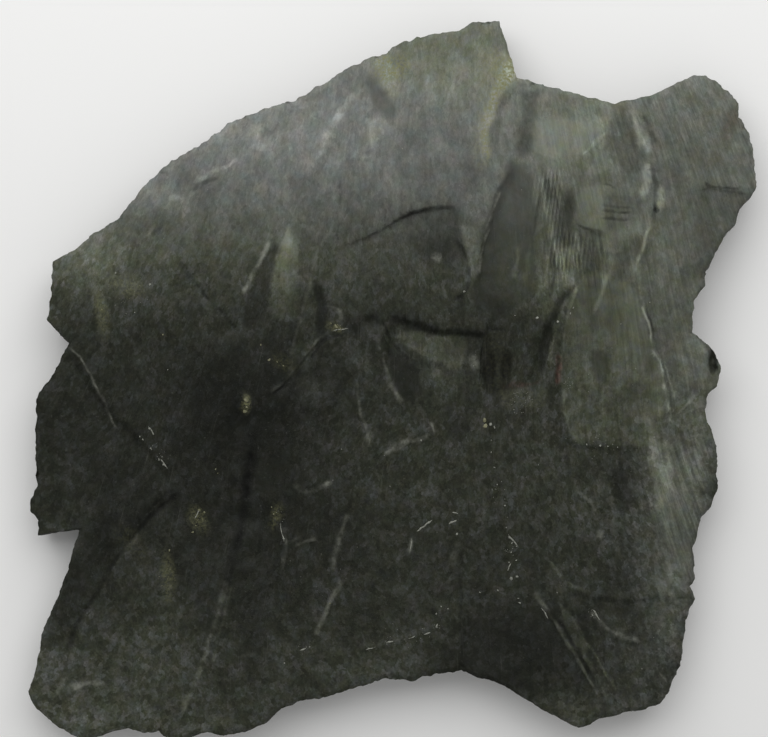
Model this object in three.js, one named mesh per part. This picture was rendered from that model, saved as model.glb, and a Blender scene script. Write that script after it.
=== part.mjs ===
// A slab of black shale, split along its bedding, with the ribbed mould of a calamites stem
// pressed into its upper face. Millimetres, +Z up: the slab lies on its back, fossil side up.
import * as THREE from "three";
import { ConvexHull } from "three/addons/math/ConvexHull.js";

// Driving dimensions
const crownHeight = 18.5; // thickest part of the slab, along its cross ridge
const crownY = 30; // where the face starts to fall towards the top edge
const topFall = 4.6; // how far it falls from there to the top edge
const slopeFall = 4.2; // how far the face falls across the middle, towards the bottom edge
const slopeTop = 34; // where that slope starts
const slopeFoot = -45; // and where it ends
const sideFall = 2.0; // how far the face falls to the left and right edges
const halfLength = 96; // from the middle of the slab to its edges
const rimInset = 0.5; // how far the face's rim lies inside the outline
const rimDrop = 0.9; // how much the face is worn down at that rim
const shoulderInset = 2.5; // where the worn rim meets the face
const rimStep = 3.1; // spacing of the points along the edge
const edgeRaggedness = 0.8; // how deep the small bites in the outline are
const lineStep = 2.5; // spacing of the points along breaks and creases
const breakLip = 0.25; // half the width of the steep face at a break
const endFade = 6; // usual length over which a break or crease fades out at its ends
const breakWander = 0.8; // how far a break strays from its path
const creaseWander = 0.4; // and a crease
const ribPitch = 1.06; // spacing of the stem's ribs
const ribHeight = 0.42; // from furrow to rib crest
const ribLean = THREE.MathUtils.degToRad(7); // the ribs lean to the right going up
const ribFade = 4.5; // the ribs rise to their full height over this distance from their border
const ribRowStep = 3.6; // spacing of the points along a rib
const spotPoints = 12; // points on each of the three rings round a pit or lump
const fillX = 3.2; // spacing of the plain points of the face, across the slab
const fillY = 4.8; // and along it
const clearance = 1.6; // the least gap between a plain point and any other
const lineClearance = 0.9; // and between the points of creases and spots
const layerRise = 2.4; // how far the layers of the broken edge rise and dip

// Unevenness of the face: height of the lumps, and their size across and along the slab.
const swells = [
  { height: 0.7, across: 34, along: 46 },
  { height: 0.5, across: 6.5, along: 40 }, // long flutes
  { height: 0.22, across: 4.5, along: 11 },
];

// Bedding layers seen on the broken edge: height above the back, and how far each is set in.
const edgeLayers = [
  { height: 10.6, inset: 0.0, wander: 0.0 },
  { height: 6.6, inset: 0.5, wander: 0.9 },
  { height: 5.7, inset: 1.3, wander: 0.9 },
  { height: 1.6, inset: 1.7, wander: 1.1 },
];

// The broken outline, clockwise from the left end of the top edge.
const outline = [
  [-89.5, 31.5], [-83, 35], [-79.5, 38.5], [-72, 43], [-66, 51], [-58.5, 58], [-50.5, 62.5],
  [-43.5, 68], [-35.5, 71.5], [-25.5, 74.5], [-7, 85.5], [-1.5, 87], [1, 89], [8, 91.5],
  [16.5, 92.5], [21, 95], [28.5, 95.5], [30.5, 89], [33, 80.5], [45, 77], [58.5, 73.5],
  [68.5, 75.5], [80, 81], [83, 81], [87.5, 78.5], [92, 73.5], [92, 70], [94.5, 66], [95.5, 62],
  [96.5, 51.5], [95, 48.5], [92, 45.5], [91, 41.5], [88, 38.5], [85.5, 34], [83, 29],
  [82.5, 25], [80, 21.5], [79.5, 13], [85, 8], [87, 3.5], [86, -1.5], [83.5, -3.5], [83, -7.5],
  [86, -17.5], [86.5, -28.5], [84.5, -33.5], [82, -36.5], [80, -44.5], [80.5, -52.5],
  [79, -54.5], [80.5, -58], [78.5, -62], [76.5, -75], [73.5, -82], [71, -85.5], [67, -87],
  [62, -87.5], [49.5, -92], [41.5, -88], [30, -81], [18.5, -77], [12.5, -77.5], [5.5, -79.5],
  [-2, -79], [-18.5, -84], [-24.5, -85], [-29.5, -87], [-33.5, -90.5], [-39, -93], [-44, -94],
  [-49, -93], [-57, -95.5], [-60.5, -94.5], [-62, -93], [-66, -93.5], [-70, -92], [-82, -95.5],
  [-87.5, -92.5], [-94.5, -87.5], [-96.5, -82.5], [-95, -78.5], [-93, -67], [-87.5, -54.5],
  [-83, -39.5], [-94, -41], [-94, -37], [-96, -35], [-96, -31.5], [-94.5, -28], [-94.5, -5],
  [-89, 3], [-85.5, 10], [-91, 16], [-90, 24],
];

// The flat part of the back, on which the slab rests, inside the outline.
const restingPatch = [
  [-80, 25], [-62, 44], [-32, 64], [0, 80], [22, 87], [27, 74], [52, 66], [78, 71], [86, 56],
  [76, 32], [71, 8], [76, -22], [71, -50], [68, -76], [50, -82], [22, -68], [-8, -70],
  [-36, -82], [-60, -85], [-84, -82], [-80, -56], [-73, -36], [-84, -24], [-84, -8], [-77, 9],
];

// Breaks: a layer ends along the path, and the face to the right of the path lies lower by
// the drop, coming back over the reach. The drop fades out over the last part of each end.
const breaks = [
  { name: "upper layer", drop: 1.0, reach: 16, fade: 13,
    path: [[-16.5, 35], [-5.5, 38], [2, 43], [10, 46], [19, 45]] },
  { name: "sliver beside the stem", drop: 0.6, reach: 9, fade: 6,
    path: [[19, 45], [19, 36], [20.5, 29.5], [21.5, 23]] },
  { name: "middle layer", drop: 2.2, reach: 19, fade: 6,
    path: [[-14.5, 13], [-8.5, 16.5], [-2, 20], [1, 17], [10, 14.5], [26, 12.5]] },
  { name: "left wall of the stem mould", drop: 0.8, reach: 12, fade: 8,
    path: [[21.5, 23], [23, 31.5], [26.5, 46], [28.5, 52], [32, 57]] },
  { name: "peak layer", drop: 1.0, reach: 26, fade: 12,
    path: [[24, 53], [26, 57.5], [25.5, 66.5], [29, 75.5], [33, 80.5], [37, 86]] },
  { name: "layer beside the ribs", drop: 0.6, reach: 9, fade: 5,
    path: [[47.5, 49], [48, 41.5], [52.5, 40], [56, 37]] },
  { name: "right plateau", drop: 0.8, reach: 15, fade: 8,
    path: [[47, 20], [44.5, 9.5], [43.5, -5], [45, -12], [47.5, -17], [58, -17], [69, -16.5]] },
  { name: "left lobe", drop: 1.1, reach: 34, fade: 14,
    path: [[-91, 17], [-85.5, 10], [-78, -2], [-74, -8], [-67, -14.5], [-60, -22.5], [-55.5, -28]] },
  { name: "foot lobe", drop: 0.9, reach: 26, fade: 20,
    path: [[17, -83], [17.5, -77], [18.5, -64.5], [17, -55.5], [16, -42]] },
  { name: "rough margin", drop: 0.7, reach: 13, fade: 12,
    path: [[-12.5, 73.5], [-36.5, 60.5], [-54, 49], [-67, 42], [-78, 33], [-92, 25]] },
  { name: "right lobe", drop: 0.6, reach: 12, fade: 6,
    path: [[78.5, 50.5], [88, 51], [95.5, 48.5], [101, 46]] },
];

// Creases: ridges (height above 0) and furrows (below 0) of a given half-width.
const creases = [
  { name: "long furrow", height: -1.0, width: 1.8,
    path: [[-54.5, -28], [-64, -36], [-72, -45.5], [-81.5, -60.5], [-85, -72]] },
  { name: "open crack", height: -0.9, width: 0.8,
    path: [[-33, -4.5], [-24.5, 4], [-18, 12], [-12.5, 14]] },
  { name: "dark slot", height: -1.4, width: 1.3,
    path: [[-19.5, 25.5], [-18.7, 19], [-20.5, 9.5]] },
  { name: "west fold", height: -1.0, width: 6, path: [[-55.5, 31], [-49.5, 21.5], [-41, 9.5]] },
  { name: "south fold", height: -1.4, width: 7,
    path: [[-34.5, -5], [-38, -23.5], [-42, -50]] },
  { name: "upper gash", height: -0.7, width: 1.8,
    path: [[-7, 84], [-5.8, 78.5], [-3.7, 72.5], [-0.5, 69]] },
  { name: "soft dent by the smooth patch", height: -0.5, width: 2.5,
    path: [[36.6, 72.5], [35.8, 64], [34, 57]] },
  { name: "groove beside the plateau", height: -1.3, width: 1.8,
    path: [[47.7, 25.5], [43.5, 17.5], [40.5, 9.5], [38.7, -1]] },
  { name: "blade", height: 0.6, width: 0.9, path: [[-38.7, 25], [-35.5, 31.5], [-32.7, 37.5]] },
  { name: "wedge", height: 0.7, width: 2.8, path: [[-28.5, 17], [-28.3, 30], [-26.5, 40]] },
  { name: "slot wedge", height: 0.4, width: 2.0, path: [[-24.8, 8], [-23, 18], [-21.2, 27]] },
  { name: "curved band", height: 0.45, width: 1.8,
    path: [[62.5, 72.5], [66, 64], [69.5, 54], [70, 45.5], [67.5, 38], [63.5, 28]] },
  { name: "right seam", height: 0.35, width: 1.2,
    path: [[65.5, 20], [69, 6], [72, -7], [74, -18]] },
  { name: "reed print, left", height: -0.4, width: 1.1,
    path: [[38.5, -58], [48.5, -75], [54, -85.5], [57, -92]] },
  { name: "reed print, right", height: -0.35, width: 1.2,
    path: [[45.5, -60], [51.5, -69.5], [60, -83], [65, -90]] },
  { name: "cross ridge", height: 0.4, width: 1.5,
    path: [[45.5, -55], [53, -56.5], [62, -57.5], [72, -56.5], [80, -58]] },
  { name: "vein", height: 0.3, width: 0.8, path: [[-10, -71.5], [2, -68.7], [12, -65]] },
];

// Pits and lumps: centre, half-sizes across and along, turn in degrees, and height.
const spots = [
  { name: "left pit", at: [25.6, 3], size: [2.2, 9.5], turn: -3, height: -2.8 },
  { name: "right pit", at: [29.3, -0.5], size: [1.7, 6], turn: 0, height: -2.2 },
  { name: "hollow in the side bump", at: [84.6, 5], size: [1.3, 4.2], turn: -8, height: -2.0 },
  { name: "dent below the plateau", at: [62, -29], size: [3.6, 7.5], turn: -6, height: -0.8 },
  { name: "dent in the triangle", at: [60.5, 62], size: [4.5, 7], turn: 10, height: -0.5 },
  { name: "ochre nodule", at: [-38.3, -6.2], size: [2.0, 3.3], turn: -5, height: 1.0 },
  { name: "plateau", at: [57, 2], size: [11, 18], turn: 0, height: 0.9 },
  { name: "swell above the middle ledge", at: [12, 31], size: [9, 8], turn: 0, height: 0.6 },
  { name: "north-west swell", at: [-62, 20], size: [17, 12], turn: 0, height: 0.8 },
  { name: "south-west swell", at: [-20, -38], size: [13, 24], turn: 0, height: 0.9 },
  { name: "south-east swell", at: [34, -30], size: [14, 20], turn: 0, height: 0.8 },
];

// Outline of the ribbed part of the stem mould.
const ribbedArea = [
  [34, 57], [46, 57.5], [46.5, 42], [55, 36.5], [54, 28], [48.5, 28], [44, 24], [40, 15],
  [36, 3], [33, 10], [31, 22], [31.5, 40],
];

// Repeatable scatter: a number from 0 to 1 for each pair of whole numbers.
function scatter(i, j, seed) {
  const wave = Math.sin(i * 127.1 + j * 311.7 + seed * 74.7) * 43758.5453;
  return wave - Math.floor(wave);
}

// Smooth unevenness from -1 to 1, with lumps of about the given size.
function unevenness(x, y, sizeX, sizeY, seed) {
  const u = x / sizeX;
  const v = y / sizeY;
  const i = Math.floor(u);
  const j = Math.floor(v);
  const a = THREE.MathUtils.smoothstep(u - i, 0, 1);
  const b = THREE.MathUtils.smoothstep(v - j, 0, 1);
  const low = THREE.MathUtils.lerp(scatter(i, j, seed), scatter(i + 1, j, seed), a);
  const high = THREE.MathUtils.lerp(scatter(i, j + 1, seed), scatter(i + 1, j + 1, seed), a);
  return 2 * THREE.MathUtils.lerp(low, high, b) - 1;
}

// Points along a path at an even spacing, each with its direction along the path.
function walk(path, spacing, closed = false) {
  const corners = closed ? [...path, path[0]] : path;
  const steps = [];
  for (let k = 0; k + 1 < corners.length; k++) {
    const [ax, ay] = corners[k];
    const [bx, by] = corners[k + 1];
    const length = Math.hypot(bx - ax, by - ay);
    const count = Math.max(1, Math.round(length / spacing));
    for (let n = 0; n < count; n++) {
      const t = n / count;
      const direction = [(bx - ax) / length, (by - ay) / length];
      steps.push({ x: ax + (bx - ax) * t, y: ay + (by - ay) * t, direction });
    }
  }
  if (!closed) {
    const [x, y] = path.at(-1);
    steps.push({ x, y, direction: steps.at(-1).direction });
  }
  return steps;
}

// Nearest place on a path: its distance, which side the point is on, and how far along it is.
function nearestOn(path, x, y) {
  let best = { distance: Infinity, side: 0, along: 0, total: 0 };
  let travelled = 0;
  for (let k = 0; k + 1 < path.length; k++) {
    const [ax, ay] = path[k];
    const [bx, by] = path[k + 1];
    const dx = bx - ax;
    const dy = by - ay;
    const length = Math.hypot(dx, dy);
    const t = THREE.MathUtils.clamp(((x - ax) * dx + (y - ay) * dy) / length ** 2, 0, 1);
    const distance = Math.hypot(x - ax - dx * t, y - ay - dy * t);
    if (distance < best.distance) {
      const side = dx * (y - ay) - dy * (x - ax); // above 0 on the left of the path
      best = { distance, side, along: travelled + t * length };
    }
    travelled += length;
  }
  return { ...best, total: travelled };
}

// A path as it really runs, straying to either side in short uneven steps.
function ragged(path, wander, seed) {
  return walk(path, lineStep).map(({ x, y, direction }) => {
    const aside = wander * unevenness(x, y, 4, 4, seed);
    return [x - direction[1] * aside, y + direction[0] * aside];
  });
}

function isInside(polygon, x, y) {
  let inside = false;
  polygon.forEach(([ax, ay], k) => {
    const [bx, by] = polygon[(k + 1) % polygon.length];
    if (ay > y !== by > y && x < ax + ((y - ay) / (by - ay)) * (bx - ax)) inside = !inside;
  });
  return inside;
}

// 1 along a path, easing to 0 at its two ends.
function endTaper(near, fade) {
  const fromEnd = Math.min(near.along, near.total - near.along);
  return THREE.MathUtils.smoothstep(fromEnd, 0, fade);
}

// A place on the face as seen from the middle of a spot, across and along its own turned axes.
function placeInSpot({ at, turn }, x, y) {
  const angle = THREE.MathUtils.degToRad(turn);
  const dx = x - at[0];
  const dy = y - at[1];
  return [
    dx * Math.cos(angle) - dy * Math.sin(angle),
    dx * Math.sin(angle) + dy * Math.cos(angle),
  ];
}

const breakLines = breaks.map((line, k) => {
  return { ...line, course: ragged(line.path, breakWander, 40 + k) };
});
const creaseLines = creases.map((line, k) => {
  return { ...line, course: ragged(line.path, creaseWander, 60 + k) };
});

// Height of the fossil face above the back.
function faceHeight(x, y) {
  const up = Math.max(0, y - crownY) / (halfLength - crownY);
  const aside = Math.abs(x) / halfLength;
  let z = crownHeight - topFall * up ** 1.4 - sideFall * aside ** 3;
  z -= slopeFall * (1 - THREE.MathUtils.smoothstep(y, slopeFoot, slopeTop));
  swells.forEach(({ height, across, along }, k) => {
    z += height * unevenness(x, y, across, along, k + 1);
  });
  for (const { course, drop, reach, fade } of breakLines) {
    const near = nearestOn(course, x, y);
    if (near.side > 0 || near.distance > reach) continue;
    z -= drop * endTaper(near, fade) * (1 - THREE.MathUtils.smoothstep(near.distance, 0, reach));
  }
  for (const { course, height, width } of creaseLines) {
    const near = nearestOn(course, x, y);
    if (near.distance > 3 * width) continue;
    z += height * endTaper(near, endFade) * Math.exp(-((near.distance / width) ** 2));
  }
  for (const spot of spots) {
    const [across, along] = placeInSpot(spot, x, y);
    const r = Math.hypot(across / spot.size[0], along / spot.size[1]);
    z += spot.height * (1 - THREE.MathUtils.smoothstep(r, 0.25, 1.15));
  }
  if (isInside(ribbedArea, x, y)) {
    const across = x * Math.cos(ribLean) - y * Math.sin(ribLean);
    const rib = 0.5 * Math.cos((2 * Math.PI * across) / ribPitch) - 0.5;
    const fromBorder = nearestOn([...ribbedArea, ribbedArea[0]], x, y).distance;
    z += ribHeight * rib * THREE.MathUtils.smoothstep(fromBorder, 0, ribFade);
  }
  return z;
}

// Direction into the slab at each point of a closed clockwise ring, evened over neighbours.
function inwardDirections(ring, reach = 2) {
  return ring.map((_, k) => {
    const before = ring[(k - reach + ring.length) % ring.length];
    const after = ring[(k + reach) % ring.length];
    const dx = after.x - before.x;
    const dy = after.y - before.y;
    const length = Math.hypot(dx, dy);
    return [dy / length, -dx / length];
  });
}

function movedIn(ring, inward, distance) {
  return ring.map(({ x, y }, k) => [
    x + inward[k][0] * distance(k),
    y + inward[k][1] * distance(k),
  ]);
}

// Points of the face: its rim first, then both lips of each break, each crease, the ribs
// row by row, and plain points wherever there is still room.
function facePoints(rim, shoulder) {
  const points = rim.map(([x, y]) => [x, y]);
  const place = (x, y, gap) => {
    const isClear = ([px, py], k) => {
      return Math.hypot(px - x, py - y) > (k < rim.length ? clearance : gap);
    };
    if (isInside(rim, x, y) && points.every(isClear)) points.push([x, y]);
  };
  shoulder.forEach(([x, y]) => place(x, y, 1.2));
  for (const { course } of breakLines) {
    for (const { x, y, direction } of walk(course, lineStep)) {
      for (const lip of [-breakLip, breakLip]) {
        place(x - direction[1] * lip, y + direction[0] * lip, 1.8 * breakLip);
      }
    }
  }
  for (const { course, width } of creaseLines) {
    for (const { x, y, direction } of walk(course, lineStep)) {
      for (const lip of [0, -1.3 * width, 1.3 * width]) {
        place(x - direction[1] * lip, y + direction[0] * lip, Math.min(lineClearance, width));
      }
    }
  }
  for (const { at, size, turn } of spots) {
    const axis = THREE.MathUtils.degToRad(turn);
    place(at[0], at[1], lineClearance);
    for (const share of [0.45, 0.75, 1.1]) {
      for (let k = 0; k < spotPoints; k++) {
        const angle = (2 * Math.PI * k) / spotPoints;
        const across = size[0] * share * Math.cos(angle);
        const along = size[1] * share * Math.sin(angle);
        const x = at[0] + across * Math.cos(axis) + along * Math.sin(axis);
        const y = at[1] - across * Math.sin(axis) + along * Math.cos(axis);
        place(x, y, lineClearance);
      }
    }
  }
  const halfRibs = Math.ceil((2 * halfLength) / ribPitch);
  const ribRows = Math.ceil(halfLength / ribRowStep);
  for (let row = -ribRows; row < ribRows; row++) {
    for (let column = -halfRibs; column < halfRibs; column++) {
      const across = (column * ribPitch) / 2;
      const along = row * ribRowStep;
      const x = across * Math.cos(ribLean) + along * Math.sin(ribLean);
      const y = along * Math.cos(ribLean) - across * Math.sin(ribLean);
      if (isInside(ribbedArea, x, y)) place(x, y, 0.4);
    }
  }
  const columns = Math.ceil(halfLength / fillX);
  const rows = Math.ceil(halfLength / fillY);
  for (let row = -rows; row <= rows; row++) {
    for (let column = -columns; column <= columns; column++) {
      const x = (column + 0.5 * (row & 1) + 0.5 * scatter(column, row, 5) - 0.25) * fillX;
      const y = (row + 0.5 * scatter(column, row, 6) - 0.25) * fillY;
      if (!isInside(ribbedArea, x, y)) place(x, y, clearance);
    }
  }
  return points;
}

// Delaunay triangles of points in the plane: the underside of the convex hull of the points
// lifted onto a bowl. Triangles outside the rim are dropped.
function faceTriangles(points, rim) {
  const lifted = points.map(([x, y]) => new THREE.Vector3(x, y, (x * x + y * y) / halfLength));
  const indexOf = new Map(lifted.map((point, k) => [point, k]));
  const triangles = [];
  for (const face of new ConvexHull().setFromPoints(lifted).faces) {
    if (face.normal.z > -1e-9) continue;
    const corners = [0, 1, 2].map((n) => indexOf.get(face.getEdge(n).head().point));
    const [a, b, c] = corners.map((k) => points[k]);
    const area = (b[0] - a[0]) * (c[1] - a[1]) - (b[1] - a[1]) * (c[0] - a[0]);
    const inside = isInside(rim, (a[0] + b[0] + c[0]) / 3, (a[1] + b[1] + c[1]) / 3);
    if (inside) triangles.push(area > 0 ? corners : corners.reverse());
  }
  return triangles;
}

function buildSlab() {
  const plain = walk(outline, rimStep, true);
  const bite = (k) => edgeRaggedness * scatter(k, 0, 9) ** 2;
  const edge = movedIn(plain, inwardDirections(plain), bite).map(([x, y]) => ({ x, y }));
  const inward = inwardDirections(edge);
  const rim = movedIn(edge, inward, () => rimInset);
  const shoulder = movedIn(edge, inward, (k) => shoulderInset + 0.5 * scatter(k, 0, 10));
  const points = facePoints(rim, shoulder);
  const triangles = faceTriangles(points, rim);
  const positions = points.map(([x, y], k) => [
    x,
    y,
    faceHeight(x, y) - (k < rim.length ? rimDrop : 0),
  ]);

  // The broken edge, layer by layer. Each ring follows the one above it, point for point.
  let above = edge.map((_, k) => k);
  edgeLayers.forEach(({ height, inset, wander }, layer) => {
    const uneven = (k) => unevenness(edge[k].x, edge[k].y, 13, 13, 20 + layer);
    const ring = movedIn(edge, inward, (k) => inset + wander * uneven(k));
    const below = ring.map(([x, y], k) => {
      const rise = layerRise * unevenness(edge[k].x, edge[k].y, 42, 42, 30);
      const chip = 0.35 * scatter(k, layer, 8);
      positions.push([x, y, height + (rise * height) / crownHeight + chip]);
      return positions.length - 1;
    });
    below.forEach((_, k) => {
      const next = (k + 1) % below.length;
      triangles.push([above[k], above[next], below[next]], [above[k], below[next], below[k]]);
    });
    above = below;
  });

  // The back: a worn border that runs from the lowest ring to the flat resting patch.
  const lowRing = above.map((k) => new THREE.Vector2(positions[k][0], positions[k][1]));
  const patch = restingPatch.map(([x, y]) => new THREE.Vector2(x, y));
  const patchStart = positions.length;
  restingPatch.forEach(([x, y]) => positions.push([x, y, 0]));
  const backIndex = (k) => (k < above.length ? above[k] : patchStart + k - above.length);
  const facingDown = (corners) => {
    const [a, b, c] = corners.map((k) => positions[k]);
    const area = (b[0] - a[0]) * (c[1] - a[1]) - (b[1] - a[1]) * (c[0] - a[0]);
    return area < 0 ? corners : corners.reverse();
  };
  for (const corners of THREE.ShapeUtils.triangulateShape(lowRing, [patch])) {
    triangles.push(facingDown(corners.map(backIndex)));
  }
  for (const corners of THREE.ShapeUtils.triangulateShape(patch, [])) {
    triangles.push(facingDown(corners.map((k) => patchStart + k)));
  }

  const geometry = new THREE.BufferGeometry();
  geometry.setAttribute("position", new THREE.Float32BufferAttribute(positions.flat(), 3));
  geometry.setIndex(triangles.flat());
  geometry.computeBoundingBox();
  const middle = geometry.boundingBox.getCenter(new THREE.Vector3());
  geometry.translate(-middle.x, -middle.y, 0); // the origin is the middle of the underside
  geometry.computeVertexNormals();
  return geometry;
}

const shale = new THREE.MeshStandardMaterial({
  color: 0x3c3e38,
  roughness: 0.72,
  metalness: 0,
  flatShading: true,
});

const fossil = new THREE.Group();
const slab = new THREE.Mesh(buildSlab(), shale);
slab.name = "fossil_slab";
fossil.add(slab);

export default fossil;
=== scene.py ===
import math
import bpy
import numpy as np
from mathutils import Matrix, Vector


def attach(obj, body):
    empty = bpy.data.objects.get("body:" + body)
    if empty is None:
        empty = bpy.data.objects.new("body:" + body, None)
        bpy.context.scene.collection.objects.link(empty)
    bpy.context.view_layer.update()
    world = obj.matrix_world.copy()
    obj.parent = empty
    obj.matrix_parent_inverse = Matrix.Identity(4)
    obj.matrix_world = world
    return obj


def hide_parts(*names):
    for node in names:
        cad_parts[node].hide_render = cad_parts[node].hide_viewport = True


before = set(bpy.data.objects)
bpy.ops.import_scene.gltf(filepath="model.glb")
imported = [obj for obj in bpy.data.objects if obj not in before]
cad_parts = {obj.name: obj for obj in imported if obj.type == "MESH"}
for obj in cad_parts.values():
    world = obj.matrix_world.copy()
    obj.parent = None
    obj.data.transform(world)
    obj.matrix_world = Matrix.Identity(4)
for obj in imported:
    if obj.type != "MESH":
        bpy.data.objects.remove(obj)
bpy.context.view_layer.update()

mm = 0.001  # every place below is in millimetres on the slab, seen from above

# ---- the slab's form ----

slabForm = {
    "crownHeight": 18.5,      # thickest part, along the cross ridge
    "crownY": 30,             # from here the face falls to the top edge
    "topFall": 4.6,
    "slopeFall": 4.2,         # fall of the face across the middle
    "slopeY": (-45, 34),      # between these two places
    "sideFall": 2.0,          # fall to the sides
    "halfLength": 96,
    "rimInset": 0.35,         # the rim of the face lies inside the outline
    "rimDrop": 0.55,          # wear of the rim
    "rimWidth": 1.5,
    "chipDepth": 0.7,         # small chips along the rim
    "columns": 640,           # steps of the mesh across, a multiple of eight
    "rows": 528,              # and along, a multiple of eight too
    "ribZone": (20, 58),      # the steps crowd together between these
    "ribCrowding": 1.8,
    "wallRows": 30,
    "triangles": 196000,      # after the flat parts are thinned
}

outline = [
    (-89.5, 31.5), (-83, 35), (-79.5, 38.5), (-72, 43), (-66, 51), (-58.5, 58), (-50.5, 62.5),
    (-43.5, 68), (-35.5, 71.5), (-25.5, 74.5), (-7, 85.5), (-1.5, 87), (1, 89), (8, 91.5),
    (16.5, 92.5), (21, 95), (28.5, 95.5), (30.5, 89), (33, 80.5), (45, 77), (58.5, 73.5),
    (68.5, 75.5), (80, 81), (83, 81), (87.5, 78.5), (92, 73.5), (92, 70), (94.5, 66), (95.5, 62),
    (96.5, 51.5), (95, 48.5), (92, 45.5), (91, 41.5), (88, 38.5), (85.5, 34), (83, 29),
    (82.5, 25), (80, 21.5), (79.5, 13), (85, 8), (87, 3.5), (86, -1.5), (83.5, -3.5), (83, -7.5),
    (86, -17.5), (86.5, -28.5), (84.5, -33.5), (82, -36.5), (80, -44.5), (80.5, -52.5),
    (79, -54.5), (80.5, -58), (78.5, -62), (76.5, -75), (73.5, -82), (71, -85.5), (67, -87),
    (62, -87.5), (49.5, -92), (41.5, -88), (30, -81), (18.5, -77), (12.5, -77.5), (5.5, -79.5),
    (-2, -79), (-18.5, -84), (-24.5, -85), (-29.5, -87), (-33.5, -90.5), (-39, -93), (-44, -94),
    (-49, -93), (-57, -95.5), (-60.5, -94.5), (-62, -93), (-66, -93.5), (-70, -92), (-82, -95.5),
    (-87.5, -92.5), (-94.5, -87.5), (-96.5, -82.5), (-95, -78.5), (-93, -67), (-87.5, -54.5),
    (-83, -39.5), (-94, -41), (-94, -37), (-96, -35), (-96, -31.5), (-94.5, -28), (-94.5, -5),
    (-89, 3), (-85.5, 10), (-91, 16), (-90, 24),
]

# a break: a layer ends along the path, and the face to its right lies lower by the drop, and comes
# back over the reach; the lip is the width of its slope, and the drop fades away at each end
breaks = {
    "upper layer": dict(drop=1.0, reach=16, lip=0.6, fade=13, path=[
        (-16.5, 35), (-5.5, 38), (2, 43), (10, 46), (19, 45)]),
    "sliver beside the stem": dict(drop=0.6, reach=9, lip=1.2, fade=6, path=[
        (19, 45), (19, 36), (20.5, 29.5), (21.5, 23)]),
    "middle layer": dict(drop=1.7, reach=19, lip=1.9, fade=4, path=[
        (-2.1, 17.2), (3.7, 16.4), (10.1, 14.6), (11.9, 13.5), (19.1, 13.2), (27, 12.5)]),
    "middle layer, left end": dict(drop=0.35, reach=12, lip=1.6, fade=4, path=[
        (-14.3, 13), (-8.5, 15.9), (-2.4, 19.1), (1.1, 17.8)]),
    "left wall of the stem": dict(drop=0.8, reach=12, lip=1.0, fade=8, path=[
        (21.5, 23), (23, 31.5), (26.5, 46), (28.5, 52), (32, 57)]),
    "peak layer": dict(drop=1.0, reach=26, lip=2.4, fade=12, path=[
        (24, 53), (26, 57.5), (25.5, 66.5), (29, 75.5), (33, 80.5), (37, 86)]),
    "layer beside the ribs": dict(drop=0.6, reach=9, lip=0.8, fade=5, path=[
        (47.5, 49), (48, 41.5), (52.5, 40), (56, 37)]),
    "right plateau": dict(drop=0.8, reach=15, lip=1.3, fade=8, path=[
        (47, 20), (44.5, 9.5), (43.5, -5), (45, -12), (47.5, -17), (58, -17), (69, -16.5)]),
    "left lobe": dict(drop=1.1, reach=34, lip=1.7, fade=14, path=[
        (-91, 17), (-85.5, 10), (-78, -2), (-74, -8), (-67, -14.5), (-60, -22.5), (-55.5, -28)]),
    "foot lobe": dict(drop=0.9, reach=26, lip=2.5, fade=20, path=[
        (17, -83), (17.5, -77), (18.5, -64.5), (17, -55.5), (16, -42)]),
    "rough margin": dict(drop=0.7, reach=13, lip=2.0, fade=12, path=[
        (-12.5, 73.5), (-36.5, 60.5), (-54, 49), (-67, 42), (-78, 33), (-92, 25)]),
    "right lobe": dict(drop=0.6, reach=12, lip=0.6, fade=6, path=[
        (78.5, 50.5), (88, 51), (95.5, 48.5), (101, 46)]),
}

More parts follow.
